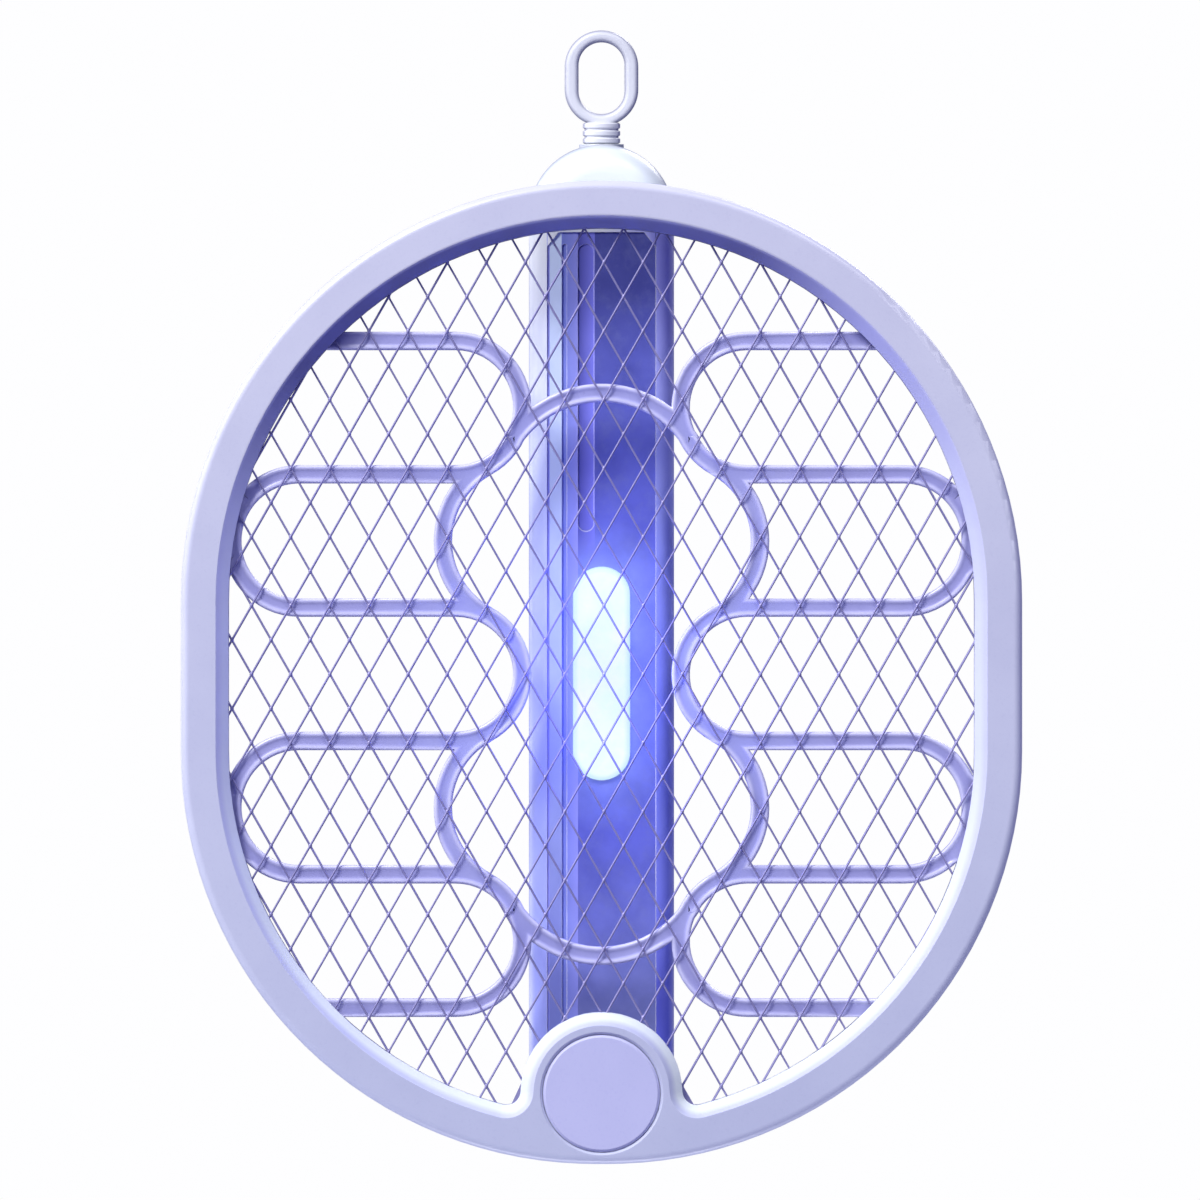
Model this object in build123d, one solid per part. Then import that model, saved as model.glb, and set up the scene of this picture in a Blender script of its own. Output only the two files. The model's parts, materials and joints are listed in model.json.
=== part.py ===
from build123d import *
import math
import os

# Folding electric fly swatter with an ultraviolet lamp in its handle, shown folded and hanging by its ring.
# Millimetres. The origin is where a hook bears, at the top of the hanging eye. +Z is up. The front faces -Y.

# ---------------------------------------------------------------- driving dimensions
# Racket head, as seen from the front: a half circle on straight sides, closed by a slightly flatter bottom
HEAD_R_TOP = 105.2
HEAD_R_SIDE = 103.3
HEAD_R_BASE = 163.5
HEAD_Z_ARCH = -140.3
HEAD_Z_BOTTOM = -281.05
HEAD_FRONT = -34.0
HEAD_SPLIT = -24.0
HEAD_BACK = -14.0
EDGE_R = 2.0
BEVEL = 3.2
LIP_INSET = 11.9
LIP_DEPTH = 5.5
FRAME_WALL = 2.0
POCKET_GROW = 2.4
CHANNEL_GROW = POCKET_GROW + FRAME_WALL - 0.2
TOE_R = 3.6

# Where the straight sides end and the flatter bottom begins
HEAD_SIDE_X = HEAD_R_TOP - HEAD_R_SIDE
HEAD_BASE_Z = HEAD_Z_BOTTOM + HEAD_R_BASE
HEAD_DROP = math.sqrt((HEAD_R_BASE - HEAD_R_SIDE) ** 2 - HEAD_SIDE_X**2)
HEAD_SIDE_Z = HEAD_BASE_Z - HEAD_DROP

# Pivot between the handle and the head, an axis along Y
PIVOT_Z = -263.4
BOSS_R = 20.25
BOSS_SOLID_R = 17.0
CAP_R = 14.65
CAP_GAP = 0.15
CAP_THICK = 1.5
CAP_CHAMFER = 0.6
SHAFT_R = 6.0
SHAFT_HOLLOW_R = 3.0
STUB_R = 4.0
RUNNING_GAP = 0.05
SHAFT_POCKET_R = 10.0
SHAFT_SHOULDER = -28.4
STOP_PIN_R = 1.0
STOP_TRACK_R = 10.6

# Grid stack inside the head, from the front mesh to the middle grid, mirrored behind it
NET_THICK = 0.6
NET_GAP = 0.1
WIRE_WIDTH = 0.6
WIRE_ANGLE = 60.3
WIRE_PITCH = 9.8
NET_CENTRE_X = 0.6
RIM_GROW = 2.3
RIM_INSET = 0.4
GRID_THICK = 0.8

# Wavy finger guard behind each mesh
GUARD_Z = -158.6
RIB_WIDTH = 4.6
RIB_THICK = 2.5
RIB_PITCH = 33.375
FINGER_X = 36.5
BULGE_R = 21.2
BULGE_X = 18.5
LOOP_R = 26.75
LOOP_Z = 43.7
CLOSURE_X = 75.75

# Handle
HANDLE_HALF = 18.2
HANDLE_FRONT = -13.0
HANDLE_BACK = 13.0
HANDLE_Z_DOME = -43.9
HANDLE_Z_END = -262.5
HANDLE_FRONT_R = 7.0
HANDLE_BACK_R = 8.0
WALL = 2.2
SEAM = 0.25
SEAM_DEPTH = 0.4
PANEL_WIDTH = 27.2
PANEL_TOP = -47.8
PANEL_BOTTOM = -249.5
PANEL_DEPTH = 0.8
GROOVE_DEPTH = 0.5
COLLAR_R = 5.6
COLLAR_TOP = -25.6

# Hanging ring
EYE_WIDTH = 11.5
EYE_HEIGHT = 18.0
RING_SIDE = 3.5
RING_END = 3.0
RING_THICK = 5.0
NECK_R = 4.7
NECK_GROOVE = 0.45
STEM_R = 2.5
STEM_FLANGE_R = 4.5
STEM_SEAT = -33.2

# Lamp behind its capsule window
LENS_WIDTH = 14.25
LENS_HEIGHT = 53.5
LENS_Z = -158.4
LENS_PROUD = 0.6
LENS_FLANGE = 1.6
LED_BOARD_MARGIN = 6.0
LED_BOARD_FRONT = HANDLE_FRONT + WALL + 3.6
LED_COUNT = 6
LED_PITCH = 8.4

# Electronics
CELL_R = 9.2
CELL_LENGTH = 65.2
CELL_TOP = -52.5
BOARD_TOP = -128.0
BOARD_BOTTOM = -234.0
BOARD_HALF = 14.0
BOARD_FRONT = 1.0
BOARD_BACK = 2.6
LEAD_R = 0.75
LEAD_X = 11.2

# Controls on the back of the handle
BUTTON_Z = -158.0
BUTTON_WIDTH = 13.0
BUTTON_LENGTH = 20.0
BUTTON_TRAVEL = 1.2
DISH_WIDTH = 20.0
DISH_LENGTH = 30.0
DISH_DEPTH = 1.0
BUTTON_PROUD = 0.8
SWITCH_Z = -196.0
SWITCH_TRAVEL = 6.0
KNOB_LENGTH = 8.0
KNOB_WIDTH = 8.0
PIPE_Z = -131.5
PIPE_R = 1.5

# Charging socket and its flap, on the right side of the handle
SOCKET_Z = -142.0
SOCKET_LENGTH = 8.94
SOCKET_THICK = 3.26
SOCKET_Y = BOARD_BACK + SOCKET_THICK / 2
FLAP_LENGTH = 14.0
FLAP_WIDTH = 6.2
FLAP_THICK = 1.1
FLAP_GAP = 0.2

# Screws
SCREW_R = 1.0
HEAD_SCREW_HEAD_R = 1.9
HANDLE_SCREW_HEAD_R = 2.2
HANDLE_POST_R = 3.2
HANDLE_POST_X = 12.6
HANDLE_POST_ZS = (-47.0, -123.0, -240.0)

BIG = 400.0


# ---------------------------------------------------------------- helpers
def slab(sketch, front, back):
    """A flat sketch, with x as X and y as Z, made solid between two Y positions."""
    return extrude(Plane.XZ.offset(-back) * sketch, amount=back - front)


def disc(radius, front, back, x=0.0, z=0.0):
    """A round bar along Y."""
    return slab(Pos(x, z) * Circle(radius), front, back)


def bar(x_range, y_range, z_range):
    """A rectangular block between two corners."""
    size = [high - low for low, high in (x_range, y_range, z_range)]
    middle = [(low + high) / 2 for low, high in (x_range, y_range, z_range)]
    return Pos(*middle) * Box(*size)


def capsule(width, height):
    """A flat upright capsule about the sketch's origin."""
    return SlotOverall(height, width, rotation=90)


def mirror_head(shape):
    """The rear twin of a front piece of the head, mirrored about the head's split plane."""
    return mirror(shape, about=Plane.XZ.offset(-HEAD_SPLIT))


def group(pieces):
    """Several separate solids that share one node."""
    return Compound(children=list(pieces))


def cross_recess(radius, y_top, depth, x, z):
    """The cross cut in a screw's head, which opens towards +Y."""
    arm = radius * 1.3
    slot = radius * 0.34
    sketch = Rectangle(arm, slot) + Rectangle(slot, arm)
    return slab(Pos(x, z) * sketch, y_top - depth, y_top)


def screw(x, z, y_seat, y_tip, head_r, head_height):
    """A pan head screw along Y with its head to the back."""
    body = disc(SCREW_R, y_tip, y_seat, x, z)
    cap = disc(head_r, y_seat, y_seat + head_height, x, z)
    cap = fillet(cap.faces().sort_by(Axis.Y)[-1].edges(), head_height * 0.45)
    return body + cap - cross_recess(head_r, y_seat + head_height, head_height * 0.6, x, z)


# ---------------------------------------------------------------- head outline and its openings
def head_outline():
    """The head's outer outline from the front."""
    lean = math.degrees(math.atan2(HEAD_DROP, HEAD_SIDE_X))
    edges = [
        CenterArc((0, HEAD_Z_ARCH), HEAD_R_TOP, 0, 180),
        Line((-HEAD_R_TOP, HEAD_Z_ARCH), (-HEAD_R_TOP, HEAD_SIDE_Z)),
        CenterArc((-HEAD_SIDE_X, HEAD_SIDE_Z), HEAD_R_SIDE, 180, lean),
        CenterArc((0, HEAD_BASE_Z), HEAD_R_BASE, 180 + lean, 180 - 2 * lean),
        CenterArc((HEAD_SIDE_X, HEAD_SIDE_Z), HEAD_R_SIDE, -lean, lean),
        Line((HEAD_R_TOP, HEAD_SIDE_Z), (HEAD_R_TOP, HEAD_Z_ARCH)),
    ]
    return make_face(edges)


def grown(amount):
    """The opening inside the lip, which bends up around the round pivot boss, grown outwards by an amount."""
    hole = offset(OUTLINE, amount=amount - LIP_INSET, kind=Kind.ARC)
    boss = BOSS_R - amount
    hole -= Pos(0, PIVOT_Z) * Circle(boss)
    toes = [v for v in hole.vertices() if abs(math.hypot(v.X, v.Y - PIVOT_Z) - boss) < 0.01]
    return fillet(toes, TOE_R + amount)


OUTLINE = head_outline()
OPENING = grown(0)


def head_post_places():
    """Where the head's eight screws stand: along the middle of the ring's hollow channel."""
    inset = (FRAME_WALL + LIP_INSET - CHANNEL_GROW) / 2
    places = []
    for angle in (20, 62, 118, 160):
        a = math.radians(angle)
        r = HEAD_R_TOP - inset
        places.append((r * math.cos(a), HEAD_Z_ARCH + r * math.sin(a)))
    for angle in (-14, -52):
        a = math.radians(angle)
        r = HEAD_R_SIDE - inset
        for sign in (1, -1):
            places.append((sign * (HEAD_SIDE_X + r * math.cos(a)), HEAD_SIDE_Z + r * math.sin(a)))
    return places


# ---------------------------------------------------------------- head shells
def ring_shell():
    """The front half of the hollow ring with its solid pivot boss, before the pivot's own cuts."""
    shell = slab(OUTLINE, HEAD_FRONT, HEAD_SPLIT)
    shell = fillet(shell.faces().sort_by(Axis.Y)[0].outer_wire().edges(), EDGE_R)
    shell -= slab(OPENING, HEAD_FRONT - 1, HEAD_SPLIT + 1)
    rim = shell.faces().sort_by(Axis.Y)[0].inner_wires()[0].edges()
    shell = chamfer(rim, BEVEL)
    shell -= slab(grown(POCKET_GROW), HEAD_FRONT + LIP_DEPTH, HEAD_SPLIT)
    channel = offset(OUTLINE, amount=-FRAME_WALL, kind=Kind.ARC) - grown(CHANNEL_GROW)
    channel -= Pos(0, PIVOT_Z) * Circle(BOSS_SOLID_R)
    shell -= slab(channel, HEAD_FRONT + FRAME_WALL, HEAD_SPLIT)
    for x, z in head_post_places():
        shell += disc(HEAD_SCREW_HEAD_R + 0.9, HEAD_FRONT + FRAME_WALL, HEAD_SPLIT, x, z)
    seam = OUTLINE - offset(OUTLINE, amount=-SEAM_DEPTH, kind=Kind.ARC)
    return shell - slab(seam, HEAD_SPLIT - SEAM, HEAD_SPLIT)


RING = ring_shell()


def front_frame():
    """The front shell of the head: screw holes, and a stepped pocket for the pivot under its cap."""
    shell = RING
    for x, z in head_post_places():
        shell -= disc(SCREW_R, HEAD_FRONT + FRAME_WALL + 2, HEAD_SPLIT, x, z)
    shell -= disc(CAP_R + CAP_GAP, HEAD_FRONT, HEAD_FRONT + CAP_THICK + 0.1, 0, PIVOT_Z)
    flare = Rot(90, 0, 0) * Cone(CAP_R + CAP_GAP, CAP_R + CAP_GAP + CAP_CHAMFER, CAP_CHAMFER)
    shell -= Pos(0, HEAD_FRONT + CAP_CHAMFER / 2, PIVOT_Z) * flare
    shell -= disc(SHAFT_POCKET_R, HEAD_FRONT, SHAFT_SHOULDER, 0, PIVOT_Z)
    shell -= disc(SHAFT_R + RUNNING_GAP, HEAD_FRONT, HEAD_SPLIT, 0, PIVOT_Z)
    return shell - contact_slot()


def rear_frame():
    """The rear shell of the head: counterbored for the screws, bored for the pivot shaft."""
    shell = mirror_head(RING)
    for x, z in head_post_places():
        shell -= disc(SCREW_R + 0.2, HEAD_SPLIT, HEAD_BACK, x, z)
        shell -= disc(HEAD_SCREW_HEAD_R + 0.15, HEAD_BACK - 4, HEAD_BACK, x, z)
    shell -= disc(SHAFT_R + RUNNING_GAP, HEAD_SPLIT, HEAD_BACK, 0, PIVOT_Z)
    shell -= disc(STOP_PIN_R, HEAD_BACK - 5, HEAD_BACK, -STOP_TRACK_R, PIVOT_Z)
    return shell - contact_slot()


def head_screws():
    """Eight small screws that close the two head shells from the back."""
    seat = HEAD_BACK - 4
    tip = HEAD_FRONT + FRAME_WALL + 3
    return group(screw(x, z, seat, tip, HEAD_SCREW_HEAD_R, 1.5) for x, z in head_post_places())


# ---------------------------------------------------------------- grid stack
def net_sketch():
    """A rhombic net of crossing wires on a narrow rim that follows the opening."""
    span = int(HEAD_R_TOP * 2 / WIRE_PITCH) + 8
    wires = []
    for sign in (1, -1):
        for k in range(-span, span + 1):
            at = Pos(NET_CENTRE_X + k * WIRE_PITCH, GUARD_Z) * Rot(0, 0, sign * WIRE_ANGLE)
            wire = (at * Rectangle(BIG, WIRE_WIDTH)) & grown(RIM_GROW - 1)
            wires.extend(wire.faces() if wire else [])
    rim = grown(RIM_GROW) - grown(RIM_GROW - 1.4)
    return rim + wires


NET = net_sketch()
STACK_FRONT = HEAD_FRONT + LIP_DEPTH


def front_mesh():
    """The front earth mesh, clamped behind the front lip."""
    return slab(NET, STACK_FRONT + NET_GAP, STACK_FRONT + NET_GAP + NET_THICK)


def rear_mesh():
    """The rear earth mesh."""
    return mirror_head(front_mesh())


def hv_grid():
    """The live grid in the middle of the stack."""
    return slab(NET, HEAD_SPLIT - GRID_THICK / 2, HEAD_SPLIT + GRID_THICK / 2)


def arc_rib(x, z, radius, start, sweep):
    """A flat rib of the guard along an arc, placed from the guard's middle."""
    outer = Circle(radius + RIB_WIDTH / 2) - Circle(radius - RIB_WIDTH / 2)
    reach = 2 * radius + RIB_WIDTH
    points = [(0, 0)]
    for step in range(5):
        a = math.radians(start + sweep * step / 4)
        points.append((reach * math.cos(a), reach * math.sin(a)))
    wedge = Polygon(*points, align=None)
    return Pos(x, GUARD_Z + z) * (outer & wedge)


def straight_rib(x_from, x_to, z):
    """A level rib of the guard."""
    return Pos((x_from + x_to) / 2, GUARD_Z + z) * Rectangle(x_to - x_from, RIB_WIDTH)


def half_guard():
    """The ribs right of the centre line: three fingers, two bulges, two closed loops and the end loops."""
    r = RIB_PITCH / 2
    ribs = []
    for row in (-2, 0, 2):
        ribs.append(arc_rib(FINGER_X, row * RIB_PITCH, r, 90, 180))
    for row in (-1, 1):
        ribs.append(arc_rib(CLOSURE_X, row * RIB_PITCH, r, -90, 180))
        lean = math.degrees(math.atan2(RIB_PITCH, FINGER_X - BULGE_X))
        ribs.append(arc_rib(BULGE_X, row * RIB_PITCH, BULGE_R, -lean, 2 * lean))
    lean = math.degrees(math.atan2(2 * RIB_PITCH - LOOP_Z, FINGER_X))
    ribs.append(arc_rib(0, LOOP_Z, LOOP_R, lean, 90 - lean))
    ribs.append(arc_rib(0, -LOOP_Z, LOOP_R, -90, 90 - lean))
    for row in (-1.5, -0.5, 0.5, 1.5):
        ribs.append(straight_rib(FINGER_X, CLOSURE_X, row * RIB_PITCH))
    for row in (-2.5, 2.5):
        ribs.append(straight_rib(FINGER_X, HEAD_R_TOP, row * RIB_PITCH))
    return ribs


def guard_ribs():
    """All the guard's ribs, right and left, cut off just inside its rim."""
    right = [rib & grown(RIM_INSET + 0.4) for rib in half_guard()]
    return right + [mirror(rib, about=Plane.YZ) for rib in right]


def front_rib_guard():
    """The front finger guard: a rim that carries the mesh, and wavy ribs across the opening."""
    front = STACK_FRONT + NET_THICK + 2 * NET_GAP
    rim = slab(grown(RIM_GROW) - grown(RIM_INSET), front, HEAD_SPLIT - GRID_THICK / 2)
    return rim + [slab(rib, front, front + RIB_THICK) for rib in guard_ribs()]


def rear_rib_guard():
    """The rear finger guard."""
    return mirror_head(front_rib_guard())


def contact_slot():
    """The slot across the boss for the two contact strips."""
    z_low = PIVOT_Z + SHAFT_R - 1
    z_high = PIVOT_Z + BOSS_R
    return bar((-5.6, 5.6), (HEAD_SPLIT - 0.4, HEAD_SPLIT + 0.4), (z_low, z_high))


def contact_strips():
    """Two brass strips that bring the leads from the pivot to the stack."""
    z_low = PIVOT_Z + SHAFT_R + 0.6
    z_high = PIVOT_Z + BOSS_R - RIM_GROW - 0.7
    y_range = (HEAD_SPLIT - 0.2, HEAD_SPLIT + 0.2)
    return group(bar((x - 1.2, x + 1.2), y_range, (z_low, z_high)) for x in (-3.5, 3.5))


# ---------------------------------------------------------------- pivot
def pivot_cap():
    """The round cap that closes the pivot, flush with the ring, on a short spigot."""
    cap = disc(CAP_R, HEAD_FRONT, HEAD_FRONT + CAP_THICK, 0, PIVOT_Z)
    cap = chamfer(cap.faces().sort_by(Axis.Y)[0].edges(), CAP_CHAMFER)
    spigot = disc(SHAFT_POCKET_R - 0.05, HEAD_FRONT + CAP_THICK, HEAD_FRONT + 2.6, 0, PIVOT_Z)
    return cap + spigot - disc(SHAFT_POCKET_R - 1, HEAD_FRONT + CAP_THICK, HEAD_FRONT + 2.6, 0, PIVOT_Z)


def pivot_shaft():
    """The hollow shaft fixed in the handle, with a flange inside it and a stub for the retaining ring."""
    shaft = disc(SHAFT_R, SHAFT_SHOULDER, -5.0, 0, PIVOT_Z)
    shaft += disc(SHAFT_R + 3, -6.0, -4.2, 0, PIVOT_Z)
    shaft += disc(STUB_R, SHAFT_SHOULDER - 3.0, SHAFT_SHOULDER, 0, PIVOT_Z)
    return shaft - disc(SHAFT_HOLLOW_R, SHAFT_SHOULDER - 3.0, -4.2, 0, PIVOT_Z)


def thrust_washer():
    """The slippery washer between the handle and the head."""
    return slab(Pos(0, PIVOT_Z) * (Circle(SHAFT_R + 2.8) - Circle(SHAFT_R)), HEAD_BACK, HANDLE_FRONT)


def friction_spring():
    """The cone spring washer whose push makes the fold stiff."""
    front = SHAFT_SHOULDER - 1.4
    profile = Polygon(
        (STUB_R, front), (STUB_R, front + 0.5), (8.5, SHAFT_SHOULDER), (8.5, SHAFT_SHOULDER - 0.5), align=None
    )
    return Pos(0, 0, PIVOT_Z) * revolve(Plane.XY * profile, Axis.Y)


def retaining_washer():
    """The flat washer under the retaining ring."""
    front = SHAFT_SHOULDER - 2.2
    return slab(Pos(0, PIVOT_Z) * (Circle(8.5) - Circle(STUB_R)), front, front + 0.8)


def retaining_ring():
    """The open ring that grips the shaft's stub."""
    front = SHAFT_SHOULDER - 3.0
    ring = Circle(6.6) - Circle(STUB_R) - Pos(0, -5) * Rectangle(3.0, 6.0)
    return slab(Pos(0, PIVOT_Z) * ring, front, front + 0.8)


def stop_pin():
    """The steel pin that runs in the handle's curved track and stops the fold at both ends."""
    return disc(STOP_PIN_R, HEAD_BACK - 5, HEAD_BACK + 2.2, -STOP_TRACK_R, PIVOT_Z)


# ---------------------------------------------------------------- handle shells
def handle_block(inset):
    """The handle's rounded block, drawn in by an inset."""
    outline = Pos(0, (HANDLE_Z_DOME + HANDLE_Z_END) / 2) * SlotCenterToCenter(
        HANDLE_Z_DOME - HANDLE_Z_END, 2 * (HANDLE_HALF - inset), rotation=90
    )
    block = slab(outline, HANDLE_FRONT + inset, HANDLE_BACK - inset)
    block = fillet(block.faces().sort_by(Axis.Y)[0].edges(), HANDLE_FRONT_R - inset)
    return fillet(block.faces().sort_by(Axis.Y)[-1].edges(), HANDLE_BACK_R - inset)


HANDLE_OUTER = handle_block(0)
HANDLE_CAVITY = handle_block(WALL)


def handle_half(front, back):
    """One half of the handle's wall, with the shared seam, collar and flap recess."""
    keep = bar((-BIG, BIG), (front, back), (-BIG, BIG))
    wall = (HANDLE_OUTER - HANDLE_CAVITY) & keep
    collar = Pos(0, 0, COLLAR_TOP - 5) * Cylinder(COLLAR_R, 10)
    wall += collar & keep
    wall -= stem_hole()
    outline = Pos(0, (HANDLE_Z_DOME + HANDLE_Z_END) / 2) * (
        SlotCenterToCenter(HANDLE_Z_DOME - HANDLE_Z_END, 2 * HANDLE_HALF + 2, rotation=90)
        - SlotCenterToCenter(HANDLE_Z_DOME - HANDLE_Z_END, 2 * (HANDLE_HALF - SEAM_DEPTH), rotation=90)
    )
    seam = slab(outline, -SEAM, SEAM) - Pos(0, 0, COLLAR_TOP) * Cylinder(COLLAR_R, 12)
    return wall - seam - flap_recess()


def stem_hole():
    """The stepped hole for the hanging ring's stem, half in each shell."""
    hole = Pos(0, 0, -35) * Cylinder(STEM_R + RUNNING_GAP, 30)
    return hole + Pos(0, 0, STEM_SEAT - 5) * Cylinder(STEM_FLANGE_R + 0.4, 10)


def handle_posts(front, back, radius):
    """Six screw posts between two Y positions, kept inside the handle's outer form."""
    posts = [disc(radius, front, back, sign * HANDLE_POST_X, z) for z in HANDLE_POST_ZS for sign in (1, -1)]
    return [post & HANDLE_OUTER for post in posts]


def cradle(front, back, z):
    """A rib across the handle with a round seat for the cell and a notch for its lead."""
    rib = bar((-BIG, BIG), (front, back), (z - 0.75, z + 0.75)) & HANDLE_CAVITY
    rib -= bar((-LEAD_X - 1.1, -LEAD_X + 1.1), (0, 3.2), (z - 1, z + 1))
    return rib - Pos(0, 0, CELL_TOP - CELL_LENGTH / 2) * Cylinder(CELL_R + 0.1, CELL_LENGTH)


def front_panel():
    """The long sunk panel on the handle's front, with its top corners cut off."""
    panel = Pos(0, (PANEL_TOP + PANEL_BOTTOM) / 2) * Rectangle(PANEL_WIDTH, PANEL_TOP - PANEL_BOTTOM)
    panel = chamfer(panel.vertices().group_by(Axis.Y)[-1], 3.6, 2.9)
    return slab(panel, HANDLE_FRONT - 1, HANDLE_FRONT + PANEL_DEPTH)


def front_grooves():
    """A fine groove down the panel's left side, and a wide shallow flute beside it above the lamp."""
    floor = HANDLE_FRONT + PANEL_DEPTH
    fine_length = PANEL_TOP - PANEL_BOTTOM - 6
    fine = Pos(-9.3, (PANEL_TOP + PANEL_BOTTOM) / 2) * capsule(1.2, fine_length)
    flute_length = 72.0
    flute = Pos(-3.9, PANEL_TOP - 3 - flute_length / 2) * capsule(4.0, flute_length)
    return slab(fine, floor - 1, floor + GROOVE_DEPTH) + slab(flute, floor - 1, floor + GROOVE_DEPTH * 0.8)


def stop_track():
    """The half-circle track in the handle's front for the head's stop pin."""
    width = STOP_PIN_R + 0.25
    ring = Circle(STOP_TRACK_R + width) - Circle(STOP_TRACK_R - width)
    upper = ring & (Pos(0, STOP_TRACK_R) * Rectangle(4 * STOP_TRACK_R, 2 * STOP_TRACK_R))
    ends = [Pos(sign * STOP_TRACK_R, 0) * Circle(width) for sign in (1, -1)]
    return slab(Pos(0, PIVOT_Z) * (upper + ends), HANDLE_FRONT - 1, HANDLE_FRONT + 2.4)


def handle_front_shell():
    """The front half of the handle, with the lamp window, the sunk panel and the pivot's seat."""
    shell = handle_half(HANDLE_FRONT - 5, 0)
    inner = HANDLE_FRONT + WALL
    shell += disc(SHAFT_R + 7.5, inner - 0.2, -6.0, 0, PIVOT_Z) & HANDLE_OUTER
    shell += handle_posts(inner - 1.5, 0, HANDLE_POST_R)
    shell += [cradle(inner - 1, 0, z) for z in (-68.0, -102.0)]
    for sign in (1, -1):
        z = LENS_Z + sign * (LENS_HEIGHT / 2 + LED_BOARD_MARGIN - 2)
        shell += disc(2.0, inner - 0.2, LED_BOARD_FRONT, 0, z)
    shell -= front_panel()
    shell -= front_grooves()
    shell -= slab(Pos(0, LENS_Z) * capsule(LENS_WIDTH, LENS_HEIGHT), HANDLE_FRONT - 1, inner + 1)
    shell -= disc(SHAFT_R, HANDLE_FRONT - 1, 0, 0, PIVOT_Z)
    shell -= stop_track()
    for z in HANDLE_POST_ZS:
        for sign in (1, -1):
            shell -= disc(SCREW_R, HANDLE_FRONT + 4, 0, sign * HANDLE_POST_X, z)
    return shell


def handle_rear_shell():
    """The rear half of the handle, with the thumb dish, the switch slot and six screw wells."""
    shell = handle_half(0, HANDLE_BACK + 5)
    inner = HANDLE_BACK - WALL
    shell += handle_posts(0, inner + 1.5, HANDLE_POST_R)
    shell += [cradle(0, inner + 1, z) for z in (-68.0, -102.0)]
    for x in (-11.0, 11.0):
        for z in (BOARD_TOP - 6, BOARD_BOTTOM + 6):
            shell += disc(1.8, BOARD_BACK, inner + 1.5, x, z) & HANDLE_OUTER
    dish = Pos(0, BUTTON_Z) * capsule(DISH_WIDTH, DISH_LENGTH)
    shell -= slab(dish, HANDLE_BACK - DISH_DEPTH, HANDLE_BACK + 1)
    shell -= slab(Pos(0, BUTTON_Z) * capsule(BUTTON_WIDTH + 0.5, BUTTON_LENGTH + 0.5), 0, HANDLE_BACK + 1)
    recess_length = KNOB_LENGTH + SWITCH_TRAVEL + 0.6
    recess = Pos(0, SWITCH_Z) * RectangleRounded(KNOB_WIDTH + 0.6, recess_length, 1.2)
    shell -= slab(recess, HANDLE_BACK - 1.2, HANDLE_BACK + 1)
    shell -= slab(Pos(0, SWITCH_Z) * Rectangle(3.6, 3.4 + SWITCH_TRAVEL + 0.6), 0, HANDLE_BACK)
    shell -= disc(PIPE_R, 0, HANDLE_BACK + 1, 0, PIPE_Z)
    for z in HANDLE_POST_ZS:
        for sign in (1, -1):
            shell -= disc(SCREW_R + 0.2, 0, HANDLE_BACK, sign * HANDLE_POST_X, z)
            shell -= disc(HANDLE_SCREW_HEAD_R + 0.2, 4.0, HANDLE_BACK + 1, sign * HANDLE_POST_X, z)
    return shell


def handle_screws():
    """Six screws that close the handle from the back."""
    places = [(sign * HANDLE_POST_X, z) for z in HANDLE_POST_ZS for sign in (1, -1)]
    return group(screw(x, z, 4.0, -8.0, HANDLE_SCREW_HEAD_R, 1.6) for x, z in places)


# ---------------------------------------------------------------- hanging ring
def hang_ring():
    """The oblong hanging ring with its ribbed neck, and the flanged stem that turns in the handle."""
    width = EYE_WIDTH + 2 * RING_SIDE
    height = EYE_HEIGHT + 2 * RING_END
    ring = slab(Pos(0, -EYE_HEIGHT / 2) * capsule(width, height), -RING_THICK / 2, RING_THICK / 2)
    ring -= slab(Pos(0, -EYE_HEIGHT / 2) * capsule(EYE_WIDTH, EYE_HEIGHT), -RING_THICK, RING_THICK)
    rounds = ring.faces().sort_by(Axis.Y)[0].edges() + ring.faces().sort_by(Axis.Y)[-1].edges()
    ring = fillet(rounds, 1.3)
    base = COLLAR_TOP + 0.1
    top = -EYE_HEIGHT - RING_END + 1.1
    neck = revolve(Plane.XZ * neck_profile(base, top), Axis.Z)
    stem = Pos(0, 0, (base + STEM_SEAT) / 2) * Cylinder(STEM_R, base - STEM_SEAT)
    flange = Pos(0, 0, STEM_SEAT - 0.85) * Cylinder(STEM_FLANGE_R, 1.5)
    stem += Pos(0, 0, STEM_SEAT - 0.5) * Cylinder(STEM_R, 1.0)
    return ring + neck + stem + flange


def neck_profile(base, top):
    """Half of the neck's section: three rolls with grooves between."""
    pitch = (top - base) / 3
    points = [(0, base)]
    for k in range(3):
        low = base + k * pitch
        points.append((NECK_R - NECK_GROOVE, low))
        points.append((NECK_R, low + 0.3))
        points.append((NECK_R, low + pitch - 0.6))
        points.append((NECK_R - NECK_GROOVE, low + pitch - 0.3))
    points.append((0, top))
    return make_face(Polyline(*points, close=True))


# ---------------------------------------------------------------- lamp
def lamp_lens():
    """The frosted capsule window of the lamp, held by a flange behind the shell."""
    inner = HANDLE_FRONT + WALL
    shape = Pos(0, LENS_Z) * capsule(LENS_WIDTH - 0.1, LENS_HEIGHT - 0.1)
    window = slab(shape, HANDLE_FRONT - LENS_PROUD, inner)
    window = fillet(window.faces().sort_by(Axis.Y)[0].edges(), 1.0)
    size = 2 * LENS_FLANGE
    flange = slab(Pos(0, LENS_Z) * capsule(LENS_WIDTH + size, LENS_HEIGHT + size), inner, inner + 1.0)
    return window + flange


def uv_led_board():
    """The narrow board behind the lens."""
    board = Pos(0, LENS_Z) * RectangleRounded(11.0, LENS_HEIGHT + 2 * LED_BOARD_MARGIN, 1.0)
    return slab(board, LED_BOARD_FRONT, LED_BOARD_FRONT + 1.0)


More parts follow.
